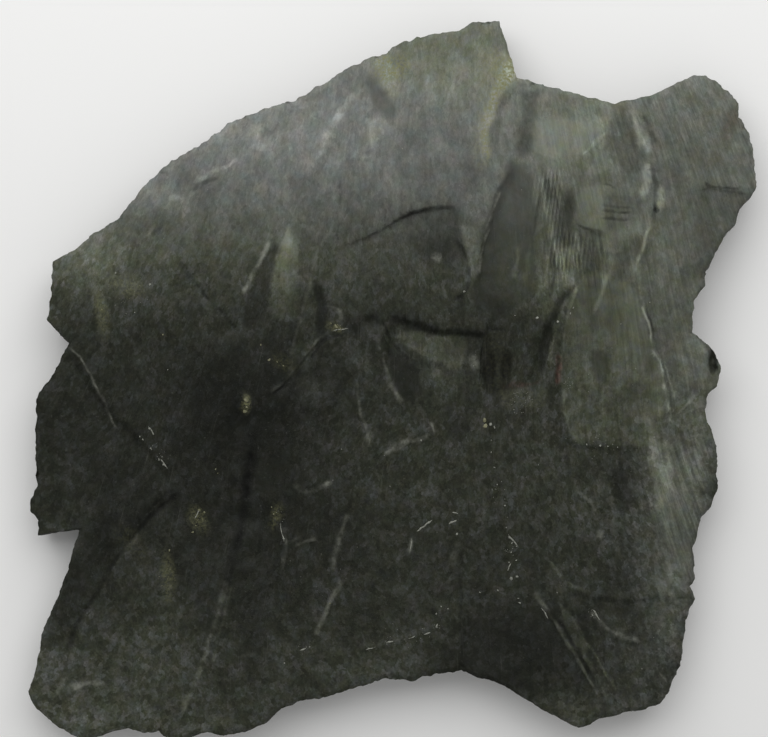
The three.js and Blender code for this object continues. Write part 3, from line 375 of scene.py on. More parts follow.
# thin lines: half-width, height of the middle, and what they do to the colour
marks = {
    "left lobe line": dict(width=0.4, rise=0.07, pale=0.28, path=[
        (-84.8, 9.5), (-80.6, 4.2), (-77.4, -3.7), (-74.2, -9), (-72.6, -13)]),
    # the blade's pale crest is a painted highlight
    "blade": dict(width=0.55, rise=0.11, tone=0.6, pale=0.42, path=[
        (-31.8, 37.1), (-34.2, 32.6), (-36.6, 28.1), (-39.2, 22.5)]),
    "wedge's left edge": dict(width=0.4, rise=0.14, pale=0.36, path=[
        (-27, 40.3), (-28.9, 36.6), (-30.5, 31.5)]),
    "slot wedge's left edge": dict(width=0.5, rise=0.11, pale=0.1, path=[
        (-21.4, 27), (-24.4, 15), (-27, 6)]),
    "arc beside the slot": dict(width=0.5, rise=0.1, pale=0.2, path=[
        (-18.3, 19.7), (-14.6, 19.4), (-12.6, 17.3), (-14, 14.6)]),
    "crack's bright lip": dict(width=0.3, rise=0.1, tone=0.5, pale=0.08, path=[
        (-14.3, 13.5), (-18.6, 11.7), (-21.5, 8.2), (-26.5, 1.9), (-32.3, -3.2)]),
    # painted shadows below the upper and middle ledges
    "upper ledge's painted shadow": dict(width=0.6, tone=-1.0, path=[
        (0, 41.6), (4, 43.8), (8, 45), (12, 45.7), (17, 45.9)]),
    "middle ledge's painted shadow, thick part": dict(width=1.9, tone=-0.7, path=[
        (-0.5, 17.2), (4.2, 15.9), (10.1, 14), (13, 13)]),
    "middle ledge's painted shadow, thin part": dict(width=1.0, tone=-0.5, path=[(11.9, 13), (19.1, 12.7), (24.9, 12.2)]),
    "centre line": dict(width=0.4, rise=0.14, pale=0.18, tone=0.3, path=[
        (-9, 0.3), (-8.5, -8), (-6.9, -12.5), (-5.6, -18.3)]),
    "facet's left edge": dict(width=0.6, rise=0.15, tone=0.4, pale=0.22, path=[
        (-2.4, 6.6), (-1.3, 2.1), (-0.3, -1.9), (2.9, -5.8)]),
    "facet's faint edge": dict(width=0.4, rise=0.1, pale=0.15, path=[(-4, 12), (-2.7, 7.4)]),
    "bit below the facet": dict(width=0.6, rise=0.11, pale=0.48, path=[(10.1, -10.3), (11.1, -14.3)]),
    "sliver's right edge": dict(width=0.5, rise=0.08, pale=0.28, path=[
        (28.4, 50.6), (24.4, 37.4), (23, 28)]),
    "sliver's left edge": dict(width=0.6, rise=-0.1, tone=-0.8, path=[
        (17, 37.6), (20, 31.5), (20.8, 27.6), (19.5, 24), (16.7, 20.7)]),
    "sliver's light line": dict(width=0.5, pale=0.14, path=[(20.1, 35), (21.7, 28.2)]),
    "stem's right edge": dict(width=0.6, rise=0.1, tone=0.3, pale=0.03, path=[
        (54.6, 38.4), (56.2, 34.7), (56.7, 29.4), (55.9, 24.6), (53, 18.8)]),
    "band, top": dict(width=1.1, rise=0.14, tone=0.5, pale=0.04, path=[
        (62.5, 71.8), (64.1, 67.8), (65.7, 63.1), (68.4, 59.1)]),
    "band, low": dict(width=0.5, rise=0.11, tone=0.6, pale=0.05, path=[
        (68.4, 42.1), (67, 37.9), (65.2, 32.6), (63.9, 28.1)]),
    "seam": dict(width=0.4, rise=0.13, tone=0.85, pale=0.14, path=[
        (65.7, 20.4), (67.6, 14.8), (68.4, 9), (71, 4), (71.5, -0.3), (73.1, -6.1), (73.9, -11.4)]),
    "second seam": dict(width=0.4, rise=0.11, tone=0.6, path=[
        (69.7, 8.2), (72.3, 3.4), (73.4, -0.8), (74.7, -5.6)]),
    "plateau line": dict(width=0.35, rise=0.08, pale=0.32, path=[(66, -8), (68.9, -11.7)]),
    "plateau's short line": dict(width=0.4, rise=0.08, pale=0.24, path=[(54.6, 21.5), (52.5, 17.2)]),
    "peak streak": dict(width=1.0, rise=0.1, tone=0.45, pale=0.04, path=[
        (-9.5, 76.3), (-13.2, 71), (-16.7, 65.7), (-19.3, 60.4), (-21.5, 56.4)]),
    "margin patch": dict(width=1.2, rise=0.13, pale=0.16, tone=0.3, path=[(-35.2, 68.4), (-34.7, 59.6)]),
    "triangle's left edge": dict(width=0.45, rise=0.12, tone=0.5, pale=0.08, path=[
        (56.4, 66), (54.1, 63.3), (52.2, 61.5), (49.6, 59.4)]),
    "triangle's bit": dict(width=0.4, rise=0.1, tone=0.4, pale=0.06, path=[(58.3, 62.3), (55.7, 60.7)]),
    "low left bits": dict(width=0.6, rise=0.12, pale=0.16, path=[
        (-28.9, -37.9), (-28.1, -42.9), (-28.9, -50.4)]),
    "low left streak": dict(width=0.4, rise=0.08, pale=0.2, path=[(-25.7, -43.5), (-19.6, -41.6)]),
    "long line, upper": dict(width=0.7, rise=0.16, tone=0.55, pale=0.2, path=[
        (-11.7, -34.7), (-13.5, -39.5), (-14.8, -44.3), (-15.6, -50.6)]),
    "long line, lower": dict(width=0.7, rise=0.16, tone=0.55, pale=0.2, path=[
        (-13.2, -52.7), (-15.6, -57), (-17.5, -61.2), (-20.1, -67.6)]),
    "short streak": dict(width=0.6, rise=0.11, pale=0.28, path=[(-18.6, -28), (-15.6, -26.2)]),
    "middle streaks": dict(width=0.6, rise=0.11, pale=0.32, path=[
        (-2.4, -19.6), (3.4, -16.4), (6.9, -15.6), (10.1, -13.8)]),
    "smear": dict(width=0.6, rise=0.06, pale=0.4, path=[(5.3, -40.8), (4.5, -46)]),
    "second smear": dict(width=0.5, rise=0.08, pale=0.24, path=[(18, -42), (15.6, -48.2)]),
    "reed, left side": dict(width=0.4, rise=0.14, tone=0.85, pale=0.1, path=[
        (37.9, -56.4), (41.3, -61.5), (44.8, -67), (48.2, -72.3), (51.4, -78.2), (55.1, -84.3)]),
    "reed, top of the left side": dict(width=0.7, rise=0.12, tone=0.5, pale=0.08, path=[
        (37.6, -55.7), (39.5, -58.6), (41.3, -61.2)]),
    "reed, fine line": dict(width=0.3, rise=0.08, tone=0.5, path=[
        (39.5, -58), (43.5, -63.9), (47.2, -70), (50.4, -75.5)]),
    "reed, dark line": dict(width=0.45, rise=-0.15, tone=-0.6, path=[
        (41.9, -60.4), (45.6, -66), (49.3, -71.8), (53, -78.2), (56.7, -84.5)]),
    "reed, broad band": dict(width=0.7, rise=0.11, tone=0.7, path=[
        (49.3, -70.2), (51.9, -74.5), (55.1, -80.3), (57, -84.3)]),
    "reed, right side": dict(width=0.4, rise=0.1, tone=0.7, path=[
        (47.2, -61.2), (50.4, -66.8), (54.1, -72.9), (57.8, -79.2), (59.9, -83.5)]),
    "line above the cross ridge": dict(width=0.4, rise=0.11, tone=0.55, pale=0.05, path=[
        (41.3, -46.9), (44.5, -51.7), (48.2, -54.9), (53, -55.9)]),
    "streak by the right edge": dict(width=0.8, rise=0.05, pale=0.14, path=[
        (73, -46), (73.3, -50), (73.5, -54.2)]),
    "streak below the cross ridge": dict(width=0.9, pale=0.1, path=[(71.5, -61), (71.8, -69)]),
    "fine line by the right edge": dict(width=0.3, rise=0.08, pale=0.3, path=[
        (70.5, -76.6), (73, -79.2)]),
    "light side of the foot step": dict(width=0.45, rise=0.06, tone=0.2, path=[
        (17.2, -61), (17.2, -75.5)]),
    "streak above the foot step": dict(width=0.5, rise=0.08, pale=0.2, path=[(15.2, -49), (17.7, -45.2)]),
    "below the cross ridge": dict(width=0.7, rise=-0.09, tone=-0.35, path=[
        (45.8, -55.9), (53, -57.5), (60.4, -58.6), (71, -57.8), (79, -57.2)]),
    "bits below the cross ridge": dict(width=0.6, rise=0.11, pale=0.32, path=[
        (52.5, -60.7), (54.6, -62.8), (57.8, -66.5), (65.7, -68.6)]),
    "cross ridge's end": dict(width=0.9, rise=0.17, pale=0.4, path=[(73, -55.4), (76.3, -59.4)]),
    "east line": dict(width=0.5, rise=0.11, pale=0.2, path=[(48.5, -28.9), (52.5, -31.5), (54.3, -35.5)]),
    "east smear": dict(width=0.9, rise=0.06, pale=0.32, path=[(55.4, -39), (55, -40.8), (54.3, -42.4)]),
    "corner line": dict(width=0.8, rise=0.17, tone=0.5, pale=0.4, path=[
        (-86.4, -81.9), (-83.2, -80.6), (-78.7, -80), (-75.3, -80.8)]),
    "corner's second line": dict(width=0.6, rise=0.11, pale=0.2, path=[(-86.7, -77.9), (-89.3, -84.5)]),
    "low line": dict(width=0.7, rise=0.14, tone=0.6, pale=0.09, path=[
        (-43.5, -52.7), (-45.8, -61.5), (-47.7, -66.8), (-49.8, -73.9), (-53, -82.2), (-55.9, -88.2)]),
    "furrow's floor": dict(width=0.7, tone=-1.1, path=[
        (-55.7, -29.2), (-58.8, -31.3), (-61.7, -33.7), (-65.2, -37.4), (-68.4, -41.1), (-73.7, -48.2),
        (-77.6, -55.4), (-82.9, -63.6), (-85.9, -71.8)]),
    "furrow's second line": dict(width=0.45, rise=-0.12, tone=-0.7, path=[
        (-57.2, -28.6), (-62.5, -31.8), (-67.3, -36.8), (-70.5, -41.1)]),
    "furrow's bright lip": dict(width=0.5, rise=0.11, tone=0.45, pale=0.04, path=[
        (-66.8, -40.3), (-70, -44.3), (-74.2, -50.1)]),
    "south fold line": dict(width=1.0, rise=-0.14, tone=-0.75, path=[
        (-37, -18.3), (-39, -31.5), (-40.8, -46)]),
    "west fold line": dict(width=0.6, rise=-0.14, tone=-0.6, path=[
        (-56.2, 32), (-49.6, 22.8), (-40.3, 13.5)]),
    "west fold's bright side": dict(width=0.5, rise=0.06, pale=0.05, path=[
        (-49.6, 19.9), (-45.1, 16.2), (-41.3, 16.7)]),
    "curl on the peak": dict(width=0.35, rise=-0.12, tone=-0.6, path=[
        (5.3, 73.7), (6.6, 72.9), (8, 71.3)]),
    "line beside the band": dict(width=0.5, rise=-0.15, tone=-0.8, path=[
        (68.4, 57.2), (69.4, 53.3), (69.2, 46.6), (68.1, 42.1)]),
    "line on the striated field": dict(width=0.3, rise=-0.1, tone=-0.8, path=[
        (55.1, 51.7), (58.8, 50.9)]),
    "right lobe's crack": dict(width=0.4, rise=-0.22, tone=-1.2, path=[
        (82.2, 52.5), (83.7, 51), (92.2, 50.6)]),
    "foot step": dict(width=0.5, tone=-0.45, path=[(18.6, -43.5), (18, -58), (18.6, -75.3)]),
    "groove's bright side": dict(width=0.8, rise=0.11, tone=0.5, green=0.8, path=[
        (44.5, 16.7), (42.7, 12.5), (41.6, 7.7), (41.6, 2.4)]),
    "rust line": dict(width=0.7, rust=0.4, tone=-0.3, path=[(43.7, 7.7), (44, -1.3)]),
    "shade by the white grain": dict(width=1.0, rise=-0.17, tone=-0.9, path=[(19.1, 22.8), (16.7, 20.7)]),
    "stem streak": dict(width=0.6, rise=0.06, tone=0.4, pale=0.05, path=[
        (33.1, 36.8), (33.1, 32.6), (31.8, 26.2)]),
    "second stem streak": dict(width=0.4, rise=0.08, tone=0.5, path=[
        (40.8, 34.7), (40.5, 29.4), (39.8, 23.6)]),
    "line left of the ledge": dict(width=0.5, rise=0.11, pale=0.11, path=[
        (-16.4, 38.7), (-19.6, 34.7), (-21.2, 28)]),
    # its dark tone is painted shadow below the middle ledge's continuation
    "ledge's continuation, with painted shadow": dict(width=0.7, rise=-0.28, tone=-0.75, path=[(24, 13.2), (30, 13.8)]),
    "whorl print, top leaf": dict(width=0.3, rise=0.17, pale=0.32, path=[(74.5, -9.5), (81.5, -3)]),
    "whorl print, second leaf": dict(width=0.3, rise=0.14, pale=0.24, path=[(75.5, -9.5), (83.5, -6)]),
    "whorl print, third leaf": dict(width=0.3, rise=0.14, pale=0.24, path=[(78, -13.5), (84.5, -11.5)]),
    "whorl print, fourth leaf": dict(width=0.3, rise=0.14, pale=0.24, path=[(78.5, -14.5), (85, -14.5)]),
    "whorl print, fifth leaf": dict(width=0.3, rise=0.14, pale=0.2, path=[(78.5, -15.5), (84.5, -18)]),
    "whorl print, lowest leaf": dict(width=0.3, rise=0.11, pale=0.16, path=[(77.5, -16.5), (81.5, -22)]),
    "left line of the leaf": dict(width=0.45, rise=0.14, pale=0.3, path=[
        (-8.7, 79.8), (-8.7, 72.3), (-8, 67.3)]),
    "line below the leaf": dict(width=0.45, rise=0.17, pale=0.35, path=[(-6.6, 69.2), (-5.8, 60.4)]),
    "dark line on the upper left": dict(width=0.4, rise=-0.08, tone=-0.3, path=[
        (-13.2, 55.1), (-14, 49.8), (-13.2, 43.5)]),
    "margin ridge": dict(width=0.8, rise=0.13, tone=0.5, path=[
        (-51.9, 52.2), (-48.8, 54.1), (-45.6, 55.9), (-40.3, 58.6)]),
    "margin furrow": dict(width=0.7, rise=-0.12, tone=-0.4, path=[
        (-53.3, 49.8), (-49.3, 52.2), (-45.1, 54.3)]),
    "west margin furrow": dict(width=0.9, rise=-0.12, tone=-0.4, path=[
        (-63.3, 37.9), (-61.5, 40.3), (-59.4, 42.9)]),
    "west margin ridge": dict(width=0.8, rise=0.1, tone=0.35, path=[(-64.7, 37.4), (-62, 41.6)]),
    "line beside the band, upper": dict(width=0.5, rise=-0.12, tone=-0.7, path=[
        (66.2, 70.5), (67.8, 66.5), (69.4, 62)]),
    "upper stripe": dict(width=0.3, rise=-0.06, tone=-0.6, path=[
        (54.6, 46.4), (60.4, 45.8), (63.6, 46.1)]),
    "middle stripe": dict(width=0.3, rise=-0.06, tone=-0.7, path=[
        (54.6, 44.5), (59.9, 44.3), (64.1, 44.5)]),
    "lower stripe": dict(width=0.3, rise=-0.06, tone=-0.6, path=[
        (54.6, 42.9), (59.4, 42.4), (63.1, 42.7)]),
    "light block's lower side": dict(width=0.4, rise=-0.1, tone=-0.4, path=[
        (48.5, 41.1), (52.5, 40.3), (55.4, 39), (56.4, 35.8)]),
    "dark line on the stem": dict(width=0.4, rise=-0.12, tone=-0.8, path=[
        (42.9, 35.2), (42.7, 28.1), (41.6, 21.5)]),
    "stem's second edge": dict(width=0.5, rise=0.12, tone=0.45, path=[
        (51.1, 28.9), (49, 24.9), (46.4, 20.1)]),
    "light oblique": dict(width=0.6, rise=0.06, tone=0.12, path=[
        (59.4, 33.7), (57.5, 28.9), (55.4, 24.1)]),
    "plateau's rim": dict(width=0.45, rise=0.15, tone=0.35, pale=0.05, path=[
        (49.3, 24.6), (46.6, 19.6), (45.6, 14.3), (45.1, 9), (44.5, 4), (44.8, -1.9), (45.1, -6.6),
        (46.4, -11.7), (48.2, -15.1), (50.9, -17)]),
    "seam, dark side": dict(width=0.35, rise=-0.12, tone=-0.6, path=[
        (66.5, 20.4), (68.4, 14.8), (69.4, 9), (71.8, 4), (72.6, -0.3), (73.9, -5.6)]),
    "lobe shade": dict(width=1.1, rise=-0.15, tone=-0.8, path=[
        (80.8, 11.9), (83.7, 9.3), (85.1, 5), (84, 0.8)]),
    "crack's dark line": dict(width=0.35, rise=-0.1, tone=-0.9, path=[
        (-12.7, 12.5), (-17.8, 10.9), (-20.7, 7.2), (-25.7, 0.8), (-32.1, -4.2)]),
    "strip's dark line": dict(width=0.4, rise=-0.12, tone=-0.9, path=[
        (-36.8, -15.6), (-37.9, -25.7), (-39.2, -33.7), (-40.5, -43.5)]),
    "low line, second": dict(width=0.45, rise=0.1, tone=0.4, pale=0.03, path=[
        (-42.1, -53.8), (-44.3, -61.5), (-46.1, -68.6), (-47.7, -75)]),
    "low left arc": dict(width=0.4, rise=0.08, pale=0.12, path=[
        (-27.3, -42.7), (-23.9, -41.1), (-19.9, -41.3)]),
    "specked line": dict(width=0.5, rise=0.06, tone=0.3, pale=0.08, path=[
        (-26.2, -26.5), (-24.6, -29.2), (-21.2, -29.4), (-18.6, -27.6), (-15.4, -27)]),
    "line by the vein": dict(width=0.4, rise=0.08, pale=0.14, path=[(-40.5, -73.4), (-35.5, -71.5)]),
    "facet's dark line": dict(width=0.5, rise=-0.12, tone=-0.7, path=[
        (-2.7, 16.7), (-1.1, 11.7), (1.6, 8.2), (5.3, 5)]),
    "third stem streak": dict(width=0.6, rise=0.06, tone=0.35, path=[
        (36, 34.7), (35.5, 29.9), (33.9, 24.6)]),
    "dark line inside the band": dict(width=0.5, rise=-0.1, tone=-0.5, path=[
        (40.8, 53.8), (39.5, 49.6), (38.2, 44.3), (36.8, 37.9)]),
    "rusty foot of the pits": dict(width=0.6, rust=0.3, tone=-0.2, path=[
        (28.4, -1.1), (32.6, -1.6), (37.1, -0.8), (40, 0.8)]),
}

swells = [(0.7, 34, 46), (0.5, 6.5, 40), (0.22, 4.5, 11)]  # height, size across, size along


def scatter(i, j, seed):  # fraction of a large multiple of a sine: a repeatable number from 0 to 1
    wave = np.sin(i * 127.1 + j * 311.7 + seed * 74.7) * 43758.5453
    return wave - np.floor(wave)


def smoothStep(t, low, high):  # 3s^2 - 2s^3 of s, the share of the way from low to high
    s = np.clip((t - low) / (high - low), 0, 1)
    return s * s * (3 - 2 * s)


# scatter at the corners of a lattice, eased between them, from -1 to 1
def unevenness(x, y, sizeX, sizeY, seed):
    u = x / sizeX
    v = y / sizeY
    i = np.floor(u)
    j = np.floor(v)
    a = smoothStep(u - i, 0, 1)
    b = smoothStep(v - j, 0, 1)
    low = scatter(i, j, seed) * (1 - a) + scatter(i + 1, j, seed) * a
    high = scatter(i, j + 1, seed) * (1 - a) + scatter(i + 1, j + 1, seed) * a
    return 2 * (low * (1 - b) + high * b) - 1


# unevenness, and half as much at each half size, turned each time
def crumble(x, y, size, seed, octaves=3):
    total = np.zeros_like(x)
    for k in range(octaves):
        turned = 0.8 * x + 0.6 * y
        y = 0.8 * y - 0.6 * x
        x = turned
        total += 0.5 ** k * unevenness(x, y, size / 2 ** k, size / 2 ** k, seed + k)
    return total / 1.7


def walk(path, spacing):  # even steps along each run of a path, with the run's direction
    steps = []
    for (ax, ay), (bx, by) in zip(path[:-1], path[1:]):
        length = math.hypot(bx - ax, by - ay)
        count = max(1, round(length / spacing))
        for n in range(count):
            t = n / count
            steps.append((ax + (bx - ax) * t, ay + (by - ay) * t, (bx - ax) / length, (by - ay) / length))
    steps.append((*path[-1], *steps[-1][2:]))
    return np.array(steps)


def rounded(path):  # a path with its corners cut twice, its ends kept
    points = np.array(path, float)
    for _ in range(2):
        first = 0.75 * points[:-1] + 0.25 * points[1:]
        second = 0.25 * points[:-1] + 0.75 * points[1:]
        cut = np.stack((first, second), 1).reshape(-1, 2)
        points = np.concatenate((points[:1], cut, points[-1:]))
    return points


def ragged(path, wander, seed):  # the path's steps, moved sideways by unevenness
    x, y, dx, dy = walk(path, 2.5).T
    aside = wander * unevenness(x, y, 4, 4, seed)
    return np.column_stack((x - dy * aside, y + dx * aside))


# the least distance to the path's runs, on which side of it (above 0 on the left), and how far
# the nearest place is from the nearer end
def nearestOn(path, x, y):
    best = np.full(x.shape, np.inf)
    side = np.zeros(x.shape)
    along = np.zeros(x.shape)
    travelled = 0.0
    for (ax, ay), (bx, by) in zip(path[:-1], path[1:]):
        dx = bx - ax
        dy = by - ay
        length = math.hypot(dx, dy)
        t = np.clip(((x - ax) * dx + (y - ay) * dy) / length ** 2, 0, 1)
        distance = np.hypot(x - ax - dx * t, y - ay - dy * t)
        closer = distance < best
        best = np.where(closer, distance, best)
        side = np.where(closer, dx * (y - ay) - dy * (x - ax), side)
        along = np.where(closer, travelled + t * length, along)
        travelled += length
    return best, side, np.minimum(along, travelled - along)


def pickNear(path, x, y, reach):  # which points lie in the path's box grown by the reach
    low = path.min(0) - reach
    high = path.max(0) + reach
    return np.flatnonzero((x > low[0]) & (x < high[0]) & (y > low[1]) & (y < high[1]))


def insideOf(polygon, x, y):  # a ray to the right crosses the border an odd number of times
    inside = np.zeros(x.shape, bool)
    for (ax, ay), (bx, by) in zip(polygon, polygon[1:] + polygon[:1]):
        if ay != by:
            inside ^= ((ay > y) != (by > y)) & (x < ax + (y - ay) / (by - ay) * (bx - ax))
    return inside


def ellipse(x, y, spot):  # 1 in the middle of a turned ellipse, eased to 0 at its edge
    turn = math.radians(spot.get("turn", 0))
    across = (x - spot["at"][0]) * math.cos(turn) - (y - spot["at"][1]) * math.sin(turn)
    along = (x - spot["at"][0]) * math.sin(turn) + (y - spot["at"][1]) * math.cos(turn)
    return 1 - smoothStep(np.hypot(across / spot["size"][0], along / spot["size"][1]), 0.25, 1.15)


def stray(x, y, amount, size, seed):  # both places pushed about by crumble, so that edges look torn
    return x + amount * crumble(x, y, size, seed, 2), y + amount * crumble(x, y, size, seed + 5, 2)


# for each feature: the points near its path, their distance, and how far they fade at its ends
def spread(features, x, y, reach, fade):
    for k, feature in enumerate(features.values()):
        line = ragged(rounded(feature["path"]), 0.3, 60 + k)
        near = pickNear(line, x, y, reach * feature["width"] + 0.5)
        wx, wy = stray(x[near], y[near], 0.4, 2.4, 97)
        distance, _, fromEnd = nearestOn(line, wx, wy)
        yield feature, near, distance, smoothStep(fromEnd, 0, fade)


# what the patches, spots and marks together add to one property of the rock
def gather(kind, x, y):
    total = np.zeros_like(x)
    wx, wy = stray(x, y, 0.9, 4, 101)
    for patch in patches.values():
        if kind in patch:
            border = np.array(patch["path"] + patch["path"][:1], float)
            near = pickNear(border, x, y, patch["edge"])
            distance = nearestOn(border, wx[near], wy[near])[0]
            inside = np.where(insideOf(patch["path"], wx[near], wy[near]), distance, -distance)
            total[near] += patch[kind] * smoothStep(inside, -0.5 * patch["edge"], 0.5 * patch["edge"])
    for spot in spots.values():
        if kind in spot:
            total += spot[kind] * ellipse(wx, wy, spot)
    chosen = {name: mark for name, mark in marks.items() if kind in mark}
    size = faceDetail["linePatch"]
    for mark, near, distance, fade in spread(chosen, x, y, 1.5, faceDetail["lineFade"]):
        broken = np.clip(0.85 + 0.7 * unevenness(x[near], y[near], size, size, 95), 0, 1.4)
        width = mark["width"] * (1 + 0.5 * unevenness(x[near], y[near], 2.6, 2.6, 96))
        total[near] += mark[kind] * fade * broken * (1 - smoothStep(distance, 0.3 * width, 1.4 * width))
    return total


# ---- relief of the face ----

faceDetail = {
    "terraceStep": 0.14,        # thin beds that end in wandering steps
    "terraceSize": (15, 60),
    "terraceWander": 1.6,       # how many beds the face crosses each way
    "terraceSlope": (0.4, 0.6),
    "striationHeight": 0.06,    # fine lines that fan out downwards
    "striationWidth": 1.4,
    "lumpHeight": 0.22,         # broad lumps
    "lumpSize": 9,
    "grainHeight": 0.10,
    "grainSize": 2.6,
    "fanApex": (15, 262),       # the striations meet far above the slab
    "ribPitch": 1.06,
    "ribHeight": 0.34,
    "ribLean": 7,               # degrees, to the right going up
    "crossPitch": 1.3,          # the cross lines of the striated field
    "crossHeight": 0.07,
    "crossField": dict(at=(59, 46), size=(9, 7)),
    "crossSlope": 0.08,
    "lineFade": 1.6,            # a thin line fades over this length at each end
    "linePatch": 1.7,           # and is broken up in patches of this size
}

ribbedArea = [
    (34, 57), (46, 57.5), (46.5, 42), (55, 36.5), (54, 28), (48.5, 28), (44, 24), (40, 15),
    (36, 3), (33, 10), (31, 22), (31.5, 40),
]
ribStrength = [
    dict(at=(49.5, 32), size=(8, 12)), dict(at=(42, 50), size=(6, 9)), dict(at=(44, 36), size=(5, 12)),
]


def flowPlace(x, y):  # angle and distance from the fan's apex, as millimetres across and along
    ax, ay = faceDetail["fanApex"]
    return (x - ax) * ay / (ay - y), np.hypot(x - ax, ay - y)


# crown, minus falls, plus swells, spots, breaks and creases: the form that the solid has too
def plainFace(x, y):
    f = slabForm
    up = np.maximum(0, y - f["crownY"]) / (f["halfLength"] - f["crownY"])
    aside = np.abs(x) / f["halfLength"]
    z = f["crownHeight"] - f["topFall"] * up ** 1.4 - f["sideFall"] * aside ** 3
    z -= f["slopeFall"] * (1 - smoothStep(y, *f["slopeY"]))
    for k, (height, sizeX, sizeY) in enumerate(swells):
        z += height * unevenness(x, y, sizeX, sizeY, k + 1)
    wx, wy = stray(x, y, 0.5, 3, 111)
    for spot in spots.values():
        if "rise" in spot:
            z += spot["rise"] * ellipse(wx, wy, spot)
    wx, wy = stray(x, y, 0.3, 1.7, 91)
    for k, part in enumerate(breaks.values()):
        line = ragged(rounded(part["path"]), 0.4, 40 + k)
        near = pickNear(line, x, y, part["reach"])
        distance, side, fromEnd = nearestOn(line, wx[near], wy[near])
        right = np.where(side < 0, distance, -distance)
        over = smoothStep(right, -0.3 * part["lip"], part["lip"])
        fall = (1 - smoothStep(distance, 0, part["reach"])) * over
        z[near] -= part["drop"] * smoothStep(fromEnd, 0, part["fade"]) * fall
    for crease, near, distance, fade in spread(creases, x, y, 3, 5):
        patchy = np.clip(0.75 + 0.6 * unevenness(x[near], y[near], 6, 6, 98), 0, 1.3)
        z[near] += crease["rise"] * fade * patchy * np.exp(-(distance / crease["width"]) ** 2)
    return z


def ribShare(x, y):  # how strongly the ribs show: eased in from the border, strongest in some places
    border = np.array(ribbedArea + ribbedArea[:1], float)
    fromBorder = np.where(insideOf(ribbedArea, x, y), smoothStep(nearestOn(border, x, y)[0], 0, 3), 0)
    strength = sum(0.8 * ellipse(x, y, place) for place in ribStrength)
    return fromBorder * np.clip(0.1 + strength, 0, 1)


# a cosine across the leaning ribs, made uneven: above 0 on a rib, below it in a groove
def ribWave(x, y):
    lean = math.radians(faceDetail["ribLean"])
    across = x * math.cos(lean) - y * math.sin(lean) + 0.3 * unevenness(x, y, 5, 16, 17)
    return np.cos(2 * math.pi * across / faceDetail["ribPitch"]) + 0.8 * unevenness(across, y, 0.8, 9, 18)


def faceHeight(x, y):  # the plain face, plus ribs, thin beds, striations, marks and grain
    d = faceDetail
    z = plainFace(x, y)
    smoothness = np.clip(gather("smooth", x, y), 0, 1)
    flowX, flowY = flowPlace(x, y)
    z += 0.5 * d["ribHeight"] * ribShare(x, y) * (0.7 + 0.6 * unevenness(x, y, 3, 7, 19)) * ribWave(x, y)
    cross = np.cos(2 * math.pi * (y + d["crossSlope"] * x) / d["crossPitch"]) * unevenness(x, y, 5, 2, 20)
    z += d["crossHeight"] * ellipse(x, y, d["crossField"]) * cross

    bed = d["terraceWander"] * unevenness(flowX, flowY, *d["terraceSize"], 21)
    bed += 0.35 * crumble(x, y, 7, 23)
    level = np.floor(bed)
    z += d["terraceStep"] * (1 - smoothness) * (level + smoothStep(bed - level, *d["terraceSlope"]) - bed)
    width = d["striationWidth"]
    lines = unevenness(flowX, flowY, width, 22, 31) + 0.6 * unevenness(flowX, flowY, width / 2, 13, 32)
    patchy = 0.6 + 0.5 * unevenness(flowX, flowY, 17, 33, 33)
    z += d["striationHeight"] * (1 - 0.7 * smoothness) * patchy * lines
    z += d["lumpHeight"] * (1 - 0.7 * smoothness) * crumble(x, y, d["lumpSize"], 44)
    z += d["grainHeight"] * (1 - 0.75 * smoothness) * crumble(x, y, d["grainSize"], 41)
    raised = {name: mark for name, mark in marks.items() if "rise" in mark}
    size = d["linePatch"]
    for mark, near, distance, fade in spread(raised, x, y, 3, d["lineFade"]):
        broken = np.clip(0.6 + 1.0 * unevenness(x[near], y[near], size, size, 95), 0, 1.4)
        z[near] += mark["rise"] * fade * broken * np.exp(-(distance / mark["width"]) ** 2)
    return z


# ---- the slab as one closed surface ----

# the outline seen from the middle: its distance in each direction, with small bites
def outlineRadius(theta):
    corners = outline[::-1] + outline[-1:]
    x, y = walk(corners, 0.25).T[:2]
    bite = 0.9 * np.abs(crumble(x, y, 3.4, 51)) + 0.3 * np.abs(crumble(x, y, 1.1, 53, 2)) - 0.35
    angle = np.arctan2(y, x)
    order = np.argsort(angle)
    return np.interp(theta, angle[order], (np.hypot(x, y) - bite)[order], period=2 * math.pi)


def evenRadius(theta):  # the outline's distance, evened over a wide angle
    turns = np.radians(np.linspace(-14, 14, 29))
    return np.mean([outlineRadius(theta + turn) for turn in turns], axis=0)


def starPlace(u, v, inset):  # a square sheet drawn out along rays until its border lies on the outline
    theta = np.arctan2(v, u)
    ring = np.maximum(np.abs(u), np.abs(v))
    blend = ring ** 4
    radius = ring * (evenRadius(theta) * (1 - blend) + outlineRadius(theta) * blend - inset * ring)
    return radius * np.cos(theta), radius * np.sin(theta), radius


def crowdedSteps(count):  # steps from -1 to 1, closer together across the ribbed zone
    t = np.linspace(-1, 1, 2001)
    low, high = (edge / slabForm["halfLength"] for edge in slabForm["ribZone"])
    crowded = smoothStep(t, low - 0.06, low) * smoothStep(-t, -high - 0.06, -high)
    density = 1 + (slabForm["ribCrowding"] - 1) * crowded
    total = np.concatenate(([0], np.cumsum(0.5 * (density[1:] + density[:-1]))))
    return np.interp(np.linspace(0, total[-1], count), total, t)


def gridFaces(columns, rows):  # one quad for each cell of a grid of points, counted row by row
    i = np.arange(columns - 1)
    j = np.arange(rows - 1)[:, None]
    corner = j * columns + i
    return np.stack((corner, corner + 1, corner + columns + 1, corner + columns), -1).reshape(-1, 4)


def borderLoop(columns, rows):  # the grid's border points, once round, turning left
    bottom = np.arange(columns - 1)
    right = np.arange(rows - 1) * columns + columns - 1
    top = (rows - 1) * columns + np.arange(columns - 1, 0, -1)
    left = np.arange(rows - 1, 0, -1) * columns
    return np.concatenate((bottom, right, top, left))


def addObject(name, data):
    made = bpy.data.objects.new(name, data)
    bpy.context.scene.collection.objects.link(made)
    return made


